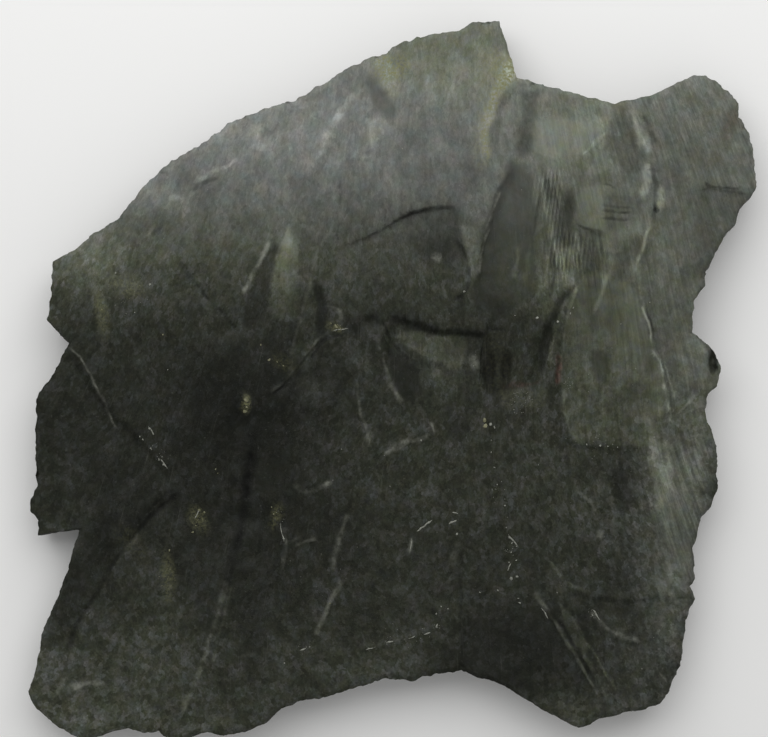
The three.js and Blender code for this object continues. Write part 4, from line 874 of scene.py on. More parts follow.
def meshFrom(name, points, faceSets):  # points in millimetres, faces as arrays of equal-sided faces
    data = bpy.data.meshes.new(name)
    loops = np.concatenate([faces.ravel() for faces in faceSets])
    sizes = np.concatenate([np.full(len(faces), faces.shape[1]) for faces in faceSets])
    data.vertices.add(len(points))
    data.vertices.foreach_set("co", (points * mm).astype(np.float32).ravel())
    data.loops.add(len(loops))
    data.loops.foreach_set("vertex_index", loops.astype(np.int32))
    data.polygons.add(len(sizes))
    data.polygons.foreach_set("loop_start", np.concatenate(([0], np.cumsum(sizes)[:-1])).astype(np.int32))
    data.update(calc_edges=True)
    data.validate()
    return addObject(name, data)


def inwardNormals(x, y, reach):  # across the line between neighbours some steps away, into the slab
    dx = np.roll(x, -reach) - np.roll(x, reach)
    dy = np.roll(y, -reach) - np.roll(y, reach)
    length = np.hypot(dx, dy)
    return -dy / length, dx / length


edgeForm = {
    "upperUndercut": 0.9,       # the edge steps in here, and again near its foot
    "upperFrom": (0.42, 0.6),   # shares of the way down
    "lowerUndercut": 0.6,
    "lowerFrom": (0.75, 1),
    "bedHeight": 1.25,
    "bedWander": 0.9,
    "bedDepth": 1.3,            # how far a bed lies in
    "bedLength": 9,
    "roughness": 0.25,
    "footHeight": 1.4,
}


def bedInset(x, y, level):  # each bed has its own unevenness, taken from far away in the same lattice
    length = edgeForm["bedLength"]
    return np.abs(unevenness(x + 37.7 * level, y - 91.3 * level, length, length, 62))


# inset of the broken edge: two undercuts, and beds set in and out by scatter
def beddedEdge(x, y, z, height):
    e = edgeForm
    depth = 1 - z / height
    inset = e["upperUndercut"] * smoothStep(depth, *e["upperFrom"])
    inset += e["lowerUndercut"] * smoothStep(depth, *e["lowerFrom"])
    bed = z / e["bedHeight"] + e["bedWander"] * unevenness(x, y, 24, 24, 61)
    level = np.floor(bed)
    ease = smoothStep(bed - level, 0.72, 1)
    inset += e["bedDepth"] * (bedInset(x, y, level) * (1 - ease) + bedInset(x, y, level + 1) * ease)
    return inset + e["roughness"] * np.abs(unevenness(x + 5 * z, y - 5 * z, 1.6, 1.6, 63))


backForm = {
    "inset": 2.6,               # the back's border lies inside the outline
    "wornHeight": 1.5,          # and is worn up by this much
    "wornWidth": 9,
    "goneBeds": ((0.55, 0.28, 0.31), (0.5, 0.6, 0.63)),  # thickness, and where in the noise they end
    "grainHeight": 0.08,
}


# flat in the middle, worn up towards the border, with a few thin beds gone
def backHeight(x, y, radius, rim):
    f = backForm
    worn = 1 - smoothStep(rim - radius, 0, f["wornWidth"] + 4 * unevenness(x, y, 30, 30, 71))
    bed = unevenness(x, y, 38, 30, 72) + 0.25 * crumble(x, y, 6, 73)
    gone = sum(thickness * smoothStep(bed, low, high) for thickness, low, high in f["goneBeds"])
    return f["wornHeight"] * worn + gone + f["grainHeight"] * (1 + crumble(x, y, 3, 75))


def buildSlab():
    f = slabForm
    coarse = 1
    columns = f["columns"] // coarse + 1
    rows = f["rows"] // coarse + 1
    u, v = np.meshgrid(crowdedSteps(columns), np.linspace(-1, 1, rows))
    x, y, radius = starPlace(u.ravel(), v.ravel(), f["rimInset"])
    toRim = outlineRadius(np.arctan2(y, x)) - f["rimInset"] - radius
    face = faceHeight(x, y)
    face -= f["rimDrop"] * (1 - smoothStep(toRim, 0, f["rimWidth"])) ** 1.5
    chipWidth = 1.6 + 1.2 * unevenness(x, y, 5, 5, 57)
    chips = smoothStep(crumble(x, y, 5, 55), 0.25, 0.4) * (1 - smoothStep(toRim, 0.3, 0.5 + chipWidth))
    face -= f["chipDepth"] * chips
    points = [np.column_stack((x, y, face))]
    faces = [gridFaces(columns, rows)]

    loop = borderLoop(columns, rows)  # the broken edge hangs from the face's rim
    rimX = x[loop]
    rimY = y[loop]
    rimZ = face[loop]
    nx, ny = inwardNormals(rimX, rimY, 6 // coarse)
    outX = rimX - nx * f["rimInset"]
    outY = rimY - ny * f["rimInset"]
    wallRows = f["wallRows"] // coarse
    foot = edgeForm["footHeight"] + 0.3 * unevenness(rimX, rimY, 12, 12, 65)
    above = loop
    count = len(points[0])
    for k in range(1, wallRows + 1):
        z = rimZ + (foot - rimZ) * k / wallRows
        started = smoothStep(np.float64(k / wallRows), 0, 0.12)
        inset = beddedEdge(outX, outY, z, rimZ) * started + f["rimInset"] * (1 - started)
        points.append(np.column_stack((outX + nx * inset, outY + ny * inset, z)))
        below = count + np.arange(len(loop))
        faces.append(np.stack((above, below, np.roll(below, -1), np.roll(above, -1)), -1))
        above = below
        count += len(loop)

    backColumns = (columns - 1) // 4 + 1  # the back has a quarter of the points each way
    backRows = (rows - 1) // 4 + 1
    ub, vb = np.meshgrid(crowdedSteps(columns)[::4], np.linspace(-1, 1, backRows))
    bx, by, bRadius = starPlace(ub.ravel(), vb.ravel(), backForm["inset"])
    bz = backHeight(bx, by, bRadius, outlineRadius(np.arctan2(by, bx)) - backForm["inset"])
    points.append(np.column_stack((bx, by, bz)))
    faces.append(count + gridFaces(backColumns, backRows)[:, ::-1])
    backLoop = count + borderLoop(backColumns, backRows)
    strip = [np.roll(above, -k)[::4] for k in range(5)]  # four steps of the edge meet one of the back
    faces.append(np.stack((*strip[::-1], backLoop, np.roll(backLoop, -1)), -1))

    piece = meshFrom("shaleSlab", np.concatenate(points), faces)
    keep = np.zeros(len(piece.data.vertices))  # points beside thin lines stay, to keep them sharp
    for mark, near, distance, _ in spread(marks, x, y, 2, faceDetail["lineFade"]):
        keep[near] = np.maximum(keep[near], distance < 0.9 * mark["width"] + 0.25)
    print("slab surface:", len(piece.data.polygons), "faces,", int(keep.sum()), "points kept for lines")
    return piece, keep


# collapse edges where the surface is flat and no line runs
def thinFlatParts(piece, keep, triangles):
    have = sum(len(p.vertices) - 2 for p in piece.data.polygons)
    if have <= triangles:
        return
    free = piece.vertex_groups.new(name="free")
    free.add(np.flatnonzero(keep == 0).tolist(), 1.0, "REPLACE")
    thin = piece.modifiers.new("thin", "DECIMATE")
    thin.ratio = triangles / have
    thin.vertex_group = "free"
    graph = bpy.context.evaluated_depsgraph_get()
    thinned = bpy.data.meshes.new_from_object(piece.evaluated_get(graph))
    piece.modifiers.clear()
    piece.vertex_groups.clear()
    piece.data = thinned
    thinned.name = piece.name
    print("thinned to", len(thinned.polygons), "triangles")


slab, keepPoints = buildSlab()
thinFlatParts(slab, keepPoints, slabForm["triangles"])
slab.data.polygons.foreach_set("use_smooth", np.ones(len(slab.data.polygons), bool))
slab.data.set_sharp_from_angle(angle=math.radians(50))
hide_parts("fossil_slab")
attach(slab, "root")

# ---- colour of the rock, with painted light and shade, as masks on the mesh ----

rockTone = {
    "upperSheenAndWeathering": 1.79,         # lighter towards the top: painted sheen and light from above, partly weathering
    "upperY": (2, 70),
    "rightLean": 0.85,          # and further down on the right
    "rightFrom": 32,
    # painted shade across the middle, and painted light towards the bottom
    "middleShade": -0.17,
    "lowerLight": 0.5,
    "lowerY": (-50, -88),
    "mottle": 0.19,
    "ribShade": 0.3,            # grooves between the ribs are darker: painted shade, and dirt
    "oliveSpots": [
        dict(at=(-60, -10), size=(60, 55)), dict(at=(70, 60), size=(50, 50)),
        dict(at=(15, 90), size=(26, 22)),
    ],
    "oliveRight": 0.45,         # greyer towards the right
    "gains": {"pale": 1.7, "ochre": 1.1, "rust": 1, "green": 0.5},
    "upperCalm": 0.74,          # finer grain towards the top
    "streaks": 0.1,             # streaks everywhere, more to the right and most on the ribs
    "streaksRight": 0.25,
    "streaksOnRibs": 0.8,
    "wallFrom": 1.2,            # millimetres below the face
    "wallFade": 5,
    "wallTone": 0.55,           # the broken sides
    "wallSwing": 0.7,
    "wallBedding": 8,
}


def addMask(piece, name, values):
    attribute = piece.data.attributes.new(name, "FLOAT", "POINT")
    attribute.data.foreach_set("value", values.astype(np.float32))


def meshPlaces(piece):  # a mesh's points in millimetres
    flat = np.empty(len(piece.data.vertices) * 3, np.float32)
    piece.data.vertices.foreach_get("co", flat)
    return (flat.reshape(-1, 3) / mm).astype(float).T


# tone is the logarithm of how much lighter the rock is drawn, painted light and shade included; the
# others run from 0 to 1
def maskSlab(piece):
    t = rockTone
    x, y, z = meshPlaces(piece)
    flowX, flowY = flowPlace(x, y)
    flowX = flowX + 5 * crumble(x, y, 48, 151, 2)
    flow = piece.data.attributes.new("flow", "FLOAT_VECTOR", "POINT")
    below = np.maximum(0, faceHeight(x, y) - z - t["wallFrom"])  # how far down the broken sides
    flowZ = z - t["wallBedding"] * below
    flow.data.foreach_set("vector", np.column_stack((flowX, flowY, flowZ)).astype(np.float32).ravel())
    onWall = smoothStep(below * (1 + 0.6 * crumble(x, y, 9, 182)), 0, t["wallFade"])
    onFace = 1 - onWall
    # painted sheen and light towards the top and the bottom, painted shade across the middle
    leaning = y + t["rightLean"] * np.maximum(0, x - t["rightFrom"]) + 5 * crumble(x, y, 22, 121, 2)
    tone = t["middleShade"] + (t["upperSheenAndWeathering"] - t["middleShade"]) * smoothStep(leaning, *t["upperY"])
    tone += (t["lowerLight"] - t["middleShade"]) * smoothStep(-y, -t["lowerY"][0], -t["lowerY"][1])
    tone += t["mottle"] * crumble(x, y, 15, 123)
    wallTone = t["wallTone"] + t["wallSwing"] * crumble(x + y, 9 * z + 0.3 * (x - y), 26, 181)
    # besides the rock's own colour, these tones paint shadows below ledges, shade in pits, slots and
    # grooves, and light on faces turned to the light
    tone += gather("tone", x, y)
    ribs = ribShare(x, y)
    # painted shade and dirt in the grooves between the ribs
    tone += t["ribShade"] * ribs * ribWave(x, y)
    addMask(piece, "tone", tone + (wallTone - tone) * onWall)
    olive = 1.3 * (1 - smoothStep(y, 15, 55)) + sum(0.7 * ellipse(x, y, spot) for spot in t["oliveSpots"])
    olive = np.clip(olive, 0, 1) * (1 - t["oliveRight"] * smoothStep(x, 45, 72))
    for kind, gain in t["gains"].items():
        ground = olive if kind == "green" else 0
        addMask(piece, kind, onFace * np.clip(ground + gain * gather(kind, x, y), 0, 1))
    calm = t["upperCalm"] * smoothStep(leaning, 8, 55)
    addMask(piece, "smooth", onFace * np.clip(calm + gather("smooth", x, y), 0, 1))
    streaks = t["streaks"] + t["streaksRight"] * smoothStep(x, 30, 60) + 0.4 * gather("streaks", x, y)
    addMask(piece, "streaks", onFace * np.clip(streaks + t["streaksOnRibs"] * ribs, 0, 1))
    print("slab coloured")


maskSlab(slab)

# ---- calcite and iron grains ----

calciteGrains = {
    "size": (0.17, 0.34),
    "places": [  # x, y, how large
        (26.2, -15.6, 0.7), (26.2, -18.8, 0.8), (27, -22.8, 1), (27.8, -27.3, 0.9), (28.9, -26.5, 0.7),
        (29.9, -32.9, 0.8), (30.5, -36, 1), (30.2, -38.7, 0.9), (31, -41.3, 1.2), (31.8, -42.7, 1.1),
        (33, -43.7, 1.1), (31.5, -45.3, 1.1), (32.9, -47.4, 0.9), (31, -48, 1), (30.7, -50, 1.2),
        (31.5, -52.2, 1.7), (33, -51.7, 1), (23.3, -55.9, 1.2), (28, -55.4, 1.3), (33.4, -57.5, 0.8),
        (33.7, -58.6, 0.8), (26, -11.4, 1.7), (27, -12.2, 1.2), (19, 23.6, 1.3), (32.3, 17.2, 0.8),
        (38.2, 16.7, 1.3), (47.7, 19.3, 1.9), (46.9, 17.8, 1.2), (43.7, 15.6, 0.8), (22, 6.9, 0.7),
        (21.5, 4, 0.8), (51.4, -16.7, 1.4), (55, -17, 1.4), (57, -17.2, 0.9), (53.8, -15, 0.7),
        (58.3, -16.7, 0.8), (59.6, -17.5, 0.8), (48.5, -15.9, 0.6), (69.2, -14.8, 0.8), (46.4, 0.8, 0.7),
        (47.4, -0.3, 0.8), (45.8, -1.9, 0.6), (60.2, 15, 0.8), (71, 21.5, 0.9), (67.8, 20.7, 0.8),
        (40.5, 69.7, 0.8), (41.6, 70.2, 0.9), (2.7, 61.2, 1.1), (-72.6, 28.4, 1.5), (-63.6, 25.4, 0.9),
        (-67.6, 18, 0.8), (-64, -12.5, 1), (-63, -14, 1.1), (-66.5, -14.6, 1.2), (-65.7, -15.4, 1),
        (-63.6, -17.8, 0.9), (-61.5, -20.7, 1.3), (-60.4, -22, 1.2), (-59.4, -23, 0.9), (-60.7, -20, 0.8),
        (-15.6, -26.2, 1), (-28.6, -41.6, 0.9), (13, -59.6, 1), (14.8, -60.2, 1), (11.7, -61.5, 0.9),
        (-0.5, -27.8, 1), (-2, -19.6, 0.9), (7.7, -15.6, 1.2), (17.2, -40.5, 0.9), (11.9, -40, 0.6),
        (53, -62, 1), (43.7, -55.9, 0.9), (66, -76, 0.9), (69.2, -67.8, 0.6), (-21.7, -70.2, 0.9),
        (-28.4, -74.5, 0.8), (-59, 3, 0.6), (-13.3, -18, 0.6),
    ],
    "crumbs": [  # clusters of tiny ones: x, y, spread, how many
        (34, -5.5, 3.4, 40), (31, -45, 1.6, 14), (46.5, -1, 1.3, 14), (56, -16.3, 4, 16),
        (-61, -19, 3, 14), (28, -30, 2.5, 12), (3, -67, 5, 10), (-30, -36, 2, 10),
        (53.5, -61.5, 2, 10), (26, 56, 12, 12), (60, 0, 9, 14), (-20, -50, 16, 16),
        (-68, 22, 6, 14), (50, -35, 22, 22), (-40, 55, 20, 14),
        (-5, -70.3, 1.7, 9), (-0.6, -69, 1.7, 9), (3.6, -68.1, 1.7, 8), (8.6, -66.9, 1.6, 12),
        (12, -64.8, 1, 9), (-23.5, -70.8, 1.6, 8),
    ],
}
ironGrains = {
    "size": (0.18, 0.42),
    "places": [
        (-13.5, 13.8, 1.4), (-14.8, 14.3, 1.3), (-16, 15.2, 0.9), (-34.5, 9.5, 1.4), (-30.2, 5, 1),
        (-28.6, 4, 0.9), (-38.4, -5, 1.8), (-38.2, -6.9, 2), (-38.7, -8, 1.5), (-32.3, 5.6, 0.8),
        (-60.2, 12.2, 0.9), (-76.3, 18.8, 0.8), (-46.6, -23.3, 1), (-46, -24.4, 1.1), (-50.9, -34.2, 1.1),
        (-49.6, -34.7, 1), (-51.9, -38.2, 1.1), (-52.7, -40, 1), (-58.8, -44.8, 1.3), (-31.8, -33.4, 0.9),
        (-31.3, -35.2, 1), (24.4, -10.3, 1.5), (24.6, -11.8, 1.3), (-16.4, -58.8, 0.8),
    ],
    "crumbs": [
        (-38.3, -6.3, 1.5, 16), (-14.5, 14.2, 1.6, 12), (-69, 24.5, 4, 14), (-51, -37, 2.2, 14),
        (-59.5, -52, 2.5, 14), (0, 82, 5, 14), (25.5, 65, 3, 12),
    ],
}


# lumps with twelve corners, pushed in and out and half sunk into the face
def grainMesh(name, values, seed):
    golden = (1 + 5 ** 0.5) / 2
    corners = np.array([
        (-1, golden, 0), (1, golden, 0), (-1, -golden, 0), (1, -golden, 0),
        (0, -1, golden), (0, 1, golden), (0, -1, -golden), (0, 1, -golden),
        (golden, 0, -1), (golden, 0, 1), (-golden, 0, -1), (-golden, 0, 1)])
    corners = corners / np.linalg.norm(corners[0])
    sides = np.array([
        (0, 11, 5), (0, 5, 1), (0, 1, 7), (0, 7, 10), (0, 10, 11),
        (1, 5, 9), (5, 11, 4), (11, 10, 2), (10, 7, 6), (7, 1, 8),
        (3, 9, 4), (3, 4, 2), (3, 2, 6), (3, 6, 8), (3, 8, 9),
        (4, 9, 5), (2, 4, 11), (6, 2, 10), (8, 6, 7), (9, 8, 1)])
    rng = np.random.default_rng(seed)
    places = np.array(values["places"])
    low, high = values["size"]
    x = [places[:, 0]]
    y = [places[:, 1]]
    sizes = [places[:, 2] * rng.uniform(low, high, len(places))]
    for cx, cy, reach, count in values["crumbs"]:
        angle = rng.uniform(0, 2 * math.pi, count)
        distance = reach * np.sqrt(rng.uniform(0, 1, count))
        x.append(cx + distance * np.cos(angle))
        y.append(cy + distance * np.sin(angle))
        sizes.append(rng.uniform(0.35, 0.6, count) * low)
    x, y, sizes = np.concatenate(x), np.concatenate(y), np.concatenate(sizes)
    count = len(x)
    turn = rng.uniform(0, 2 * math.pi, (count, 1))
    stretch = rng.uniform(0.6, 1.5, (count, 1, 3)) * np.array((1, 1, 0.6))
    lumps = corners[None] * rng.uniform(0.55, 1.25, (count, 12, 1)) * stretch * sizes[:, None, None]
    px = lumps[..., 0] * np.cos(turn) - lumps[..., 1] * np.sin(turn) + x[:, None]
    py = lumps[..., 0] * np.sin(turn) + lumps[..., 1] * np.cos(turn) + y[:, None]
    pz = lumps[..., 2] + (faceHeight(x, y) + 0.1 * sizes)[:, None]
    faces = (sides[None] + 12 * np.arange(count)[:, None, None]).reshape(-1, 3)
    piece = meshFrom(name, np.stack((px, py, pz), -1).reshape(-1, 3), [faces])
    piece.data.shade_flat()
    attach(piece, "root")
    print(name + ":", count, "grains")
    return piece


calciteVeins = {
    "sides": 8,
    "step": 0.25,
    "flatness": 0.55,
    "paths": [  # half-width and path
        (0.16, [(-6.9, -71), (-4.9, -70.2)]), (0.2, [(-1.6, -69.3), (0.4, -68.9)]),
        (0.15, [(4.3, -68), (6.2, -67.3)]), (0.26, [(8.4, -66.9), (10.2, -66.5)]),
        (0.18, [(11.8, -65.4), (12.2, -64.2)]), (0.18, [(-24.4, -71.1), (-22.6, -70.5)]),
        (0.26, [(6.6, -40), (10.7, -36.8)]), (0.28, [(15, -37.9), (17, -36.6)]),
        (0.2, [(15.9, -34.7), (17.5, -35.2)]), (0.15, [(4.6, -45.5), (5.3, -41.5)]),
        (0.18, [(30.8, -40.5), (33.2, -43.8)]), (0.16, [(30.9, -50), (31.5, -48.2)]),
        (0.1, [(-15.6, 13.2), (-11.5, 13.7)]), (0.2, [(-60.9, -20.5), (-59.6, -23)]),
        (0.2, [(-64.3, -12), (-62.9, -14.3)]), (0.18, [(-51.9, -36.5), (-50.8, -34)]),
        (0.14, [(-29.5, -37.5), (-28.6, -42.5)]), (0.18, [(53, -60.5), (55, -63.2)]),
        (0.2, [(39.5, -60), (41.2, -63)]),
    ],
}


# a flattened tube along each path, its width rising and falling, closed to a point at both ends
def veinMesh():
    v = calciteVeins
    sides = v["sides"]
    ring = np.arange(sides)
    angle = ring * 2 * math.pi / sides
    points = []
    faces = []
    start = 0
    for k, (halfWidth, path) in enumerate(v["paths"]):
        x, y, dx, dy = walk(path, v["step"]).T
        count = len(x)
        t = np.linspace(0, 1, count)
        sway = 0.25 * unevenness(x, y, 1.3, 1.3, 140 + k)
        x = x - dy * sway
        y = y + dx * sway
        swelling = 0.75 + 0.45 * unevenness(t * count, t * 0 + k, 2, 1, 150)
        radius = halfWidth * swelling * np.minimum(1, 6 * t * (1 - t)) + 0.02
        px = x[:, None] - dy[:, None] * radius[:, None] * np.cos(angle)
        py = y[:, None] + dx[:, None] * radius[:, None] * np.cos(angle)
        pz = (faceHeight(x, y) + 0.02)[:, None] + v["flatness"] * radius[:, None] * np.sin(angle)
        points.append(np.stack((px, py, pz), -1).reshape(-1, 3))
        points.append(np.array([(x[0], y[0], pz[0].mean()), (x[-1], y[-1], pz[-1].mean())]))
        here = start + np.arange(count - 1)[:, None] * sides + ring
        aside = start + np.arange(count - 1)[:, None] * sides + np.roll(ring, -1)
        faces.append(np.stack((here, here + sides, aside + sides, aside), -1).reshape(-1, 4))
        last = start + (count - 1) * sides  # the last ring, and after it the two end points
        tip = np.full(sides, last + sides)
        faces.append(np.stack((tip, start + ring, start + np.roll(ring, -1)), -1))
        faces.append(np.stack((tip + 1, last + np.roll(ring, -1), last + ring), -1))
        start = last + sides + 2
    piece = meshFrom("calciteVeins", np.concatenate(points), faces)
    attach(piece, "root")
    print("veins:", len(v["paths"]))
    return piece


calcite = grainMesh("calciteGrains", calciteGrains, 11)
iron = grainMesh("ironGrains", ironGrains, 12)
veins = veinMesh()

# ---- materials ----


def addNode(tree, kind, inputs=None, **settings):  # its settings, and its inputs as values or links
    made = tree.nodes.new(kind)
    for name, value in settings.items():
        setattr(made, name, value)
    for key, value in (inputs or {}).items():
        if isinstance(value, bpy.types.NodeSocket):
            tree.links.new(value, made.inputs[key])
        else:
            made.inputs[key].default_value = value
    return made.outputs


def mathNode(tree, operation, *values, clamp=False):
    inputs = dict(enumerate(values))
    return addNode(tree, "ShaderNodeMath", inputs, operation=operation, use_clamp=clamp)[0]


def multiply(tree, first, second, clamp=False):
    return mathNode(tree, "MULTIPLY", first, second, clamp=clamp)


def swingOf(tree, value, middle, gain, clamp=False):  # how far a value lies above its middle, times gain
    return multiply(tree, mathNode(tree, "SUBTRACT", value, middle), gain, clamp)


def lessBy(tree, mask, share):  # 1, less a share of the mask
    return mathNode(tree, "SUBTRACT", 1, multiply(tree, mask, share))


def weighted(tree, first, second, weights):  # the sum of two values, each times its weight
    return mathNode(tree, "ADD", multiply(tree, first, weights[0]), multiply(tree, second, weights[1]))


def vectorNode(tree, operation, *values, **named):
    inputs = {**dict(enumerate(values)), **named}
    return addNode(tree, "ShaderNodeVectorMath", inputs, operation=operation)[0]


def noiseNode(tree, place, scale, detail, roughness=0.5, distortion=0.0):
    return addNode(tree, "ShaderNodeTexNoise", {
        "Vector": place, "Scale": scale, "Detail": detail,
        "Roughness": roughness, "Distortion": distortion})


def attributeValue(tree, name):
    return addNode(tree, "ShaderNodeAttribute", attribute_name=name)["Fac"]


def mixColors(tree, factor, first, second):
    return addNode(tree, "ShaderNodeMix", {0: factor, 6: first, 7: second}, data_type="RGBA")[2]


def makeGroup(name, inputs, outputs):  # a shader group with its sockets: name to (kind, default)
    group = bpy.data.node_groups.new(name, "ShaderNodeTree")
    for label, (kind, value) in inputs.items():
        socket = group.interface.new_socket(label, in_out="INPUT", socket_type="NodeSocket" + kind)
        if value is not None:
            socket.default_value = value
    for label in outputs:
        group.interface.new_socket(label, in_out="OUTPUT", socket_type="NodeSocketFloat")
    return group, group.nodes.new("NodeGroupInput").outputs, group.nodes.new("NodeGroupOutput").inputs


def placeGroup(tree, group, **inputs):  # the group as one node of a material
    return addNode(tree, "ShaderNodeGroup", inputs, node_tree=group)


# fine grain: noise of two sizes, as a shade near 1 and as a height from 0 to 1
def makeGrainGroup():
    group, given, made = makeGroup("stoneGrain", {
        "Place": ("Vector", None),
        "Size": ("Float", 0.6),      # millimetres
        "Contrast": ("Float", 0.5),
    }, ("Shade", "Height"))
    scale = mathNode(group, "DIVIDE", 1000, given["Size"])
    coarse = noiseNode(group, given["Place"], scale, 4, 0.75)["Fac"]
    fine = noiseNode(group, given["Place"], multiply(group, scale, 2.7), 2, 0.6)["Fac"]
    blend = weighted(group, coarse, fine, (0.65, 0.35))
    swing = swingOf(group, blend, 0.5, multiply(group, given["Contrast"], 4))
    group.links.new(mathNode(group, "EXPONENT", swing), made["Shade"])
    group.links.new(blend, made["Height"])
    return group


# a smooth mask broken into specks and streaks: noise decides where it stays
def makeBreakUpGroup():
    group, given, made = makeGroup("brokenMask", {
        "Mask": ("Float", 0.0),
        "Place": ("Vector", None),
        "Size": ("Float", 1.0),
        "Contrast": ("Float", 2.6),
    }, ("Mask",))
    scale = mathNode(group, "DIVIDE", 1000, given["Size"])
    noise = noiseNode(group, given["Place"], scale, 4, 0.7)["Fac"]
    stays = mathNode(group, "ADD", 0.66, swingOf(group, noise, 0.5, given["Contrast"]))
    group.links.new(multiply(group, given["Mask"], stays, clamp=True), made["Mask"])
    return group


# torn cells in two sizes, each with its own shade (about 0) and its own height
def makeFlakeGroup():
    group, given, made = makeGroup("flakes", {
        "Place": ("Vector", None),
        "Width": ("Float", 5.0),
        "Length": ("Float", 12.0),
    }, ("Shade", "Height"))
    perCell = addNode(group, "ShaderNodeCombineXYZ", {
        "X": mathNode(group, "DIVIDE", 1, given["Width"]),
        "Y": mathNode(group, "DIVIDE", 1, given["Length"]), "Z": 0.05})[0]
    place = vectorNode(group, "MULTIPLY", given["Place"], perCell)
    torn = noiseNode(group, place, 1.6, 4, 0.6)["Color"]
    torn = vectorNode(group, "SCALE", vectorNode(group, "SUBTRACT", torn, (0.5, 0.5, 0.5)), Scale=0.9)
    place = vectorNode(group, "ADD", place, torn)
    levels = []
    for scale in (1.0, 2.6):
        cell = addNode(group, "ShaderNodeTexVoronoi", {"Vector": place, "Scale": scale})["Color"]
        levels.append(addNode(group, "ShaderNodeSeparateColor", {"Color": cell})[0])
    blend = weighted(group, *levels, (0.6, 0.4))
    group.links.new(mathNode(group, "SUBTRACT", blend, 0.5), made["Shade"])
    group.links.new(blend, made["Height"])
    return group


grainGroup = makeGrainGroup()
flakeGroup = makeFlakeGroup()
breakUpGroup = makeBreakUpGroup()

shaleLook = {
    "color": (0.0232, 0.0244, 0.0224, 1),
    "pale": (0.19, 0.195, 0.165, 1),
    "ochre": (0.187, 0.188, 0.09, 1),
    "rust": (0.06, 0.022, 0.016, 1),
    "green": (0.0228, 0.0252, 0.0158, 1),
    "greenShare": 1.1,
    "greenLean": 1.6,            # light flecks are greyer
    "hueSize": 3.5,
    "hueSwing": 0.38,
    "roughness": 0.5,
    "roughnessSwing": 1.0,
    "grainSize": 0.75,
    "grainContrast": 0.32,
    "streakSize": (1.1, 16, 5),  # millimetres across, along and down the streaks
    "streakContrast": 4.4,
    "mottleSize": (5.0, 5.0 / 0.85, 10),
    "mottleContrast": 2.1,
    "flakes": dict(size=(5.5, 8.5), contrast=0.42),
    "chips": dict(size=(0.975, 1.5), contrast=1.32),  # small crisp cells in the fine grain
    # pale specks and lines: where a noise rises above a value, made steeper by the gain
    "specks": dict(size=0.7, above=0.68, gain=6.0, share=0.3),
    "lines": dict(perMillimetre=(2.2, 0.07, 0.3), above=0.64, gain=7.0, share=0.2),
    # size and contrast of the specks that each mask is broken into
    "breakUp": dict(pale=(0.9, 2.6), ochre=(0.8, 6.0), rust=(1.2, 3.0), green=(3.0, 2.6)),
    "calmed": dict(grain=0.6, mottle=0.5, flakes=1, chips=0.9, relief=0.65),  # what smooth places lose
    "streakRelief": 0.5,
    "flakeRelief": 0.9,
    "specular": 0.17,
    "specularTint": (0.96, 1.0, 0.92, 1),
    "bumpHeight": 0.00012,       # metres
}


def newMaterial(name):
    material = bpy.data.materials.new(name)
    material.use_nodes = True
    tree = material.node_tree
    return material, tree, tree.nodes["Principled BSDF"].inputs


def inCells(tree, place, size):  # a place in millimetres, as a place among cells of this size
    return vectorNode(tree, "MULTIPLY", place, tuple(1 / length for length in size))


# the light specks and thin lines: the peaks of a noise, stronger where the rock is lighter
def peaksOf(tree, noise, form, strength):
    peaks = swingOf(tree, noise, form["above"], form["gain"], clamp=True)
    return multiply(tree, peaks, multiply(tree, strength, form["share"]))


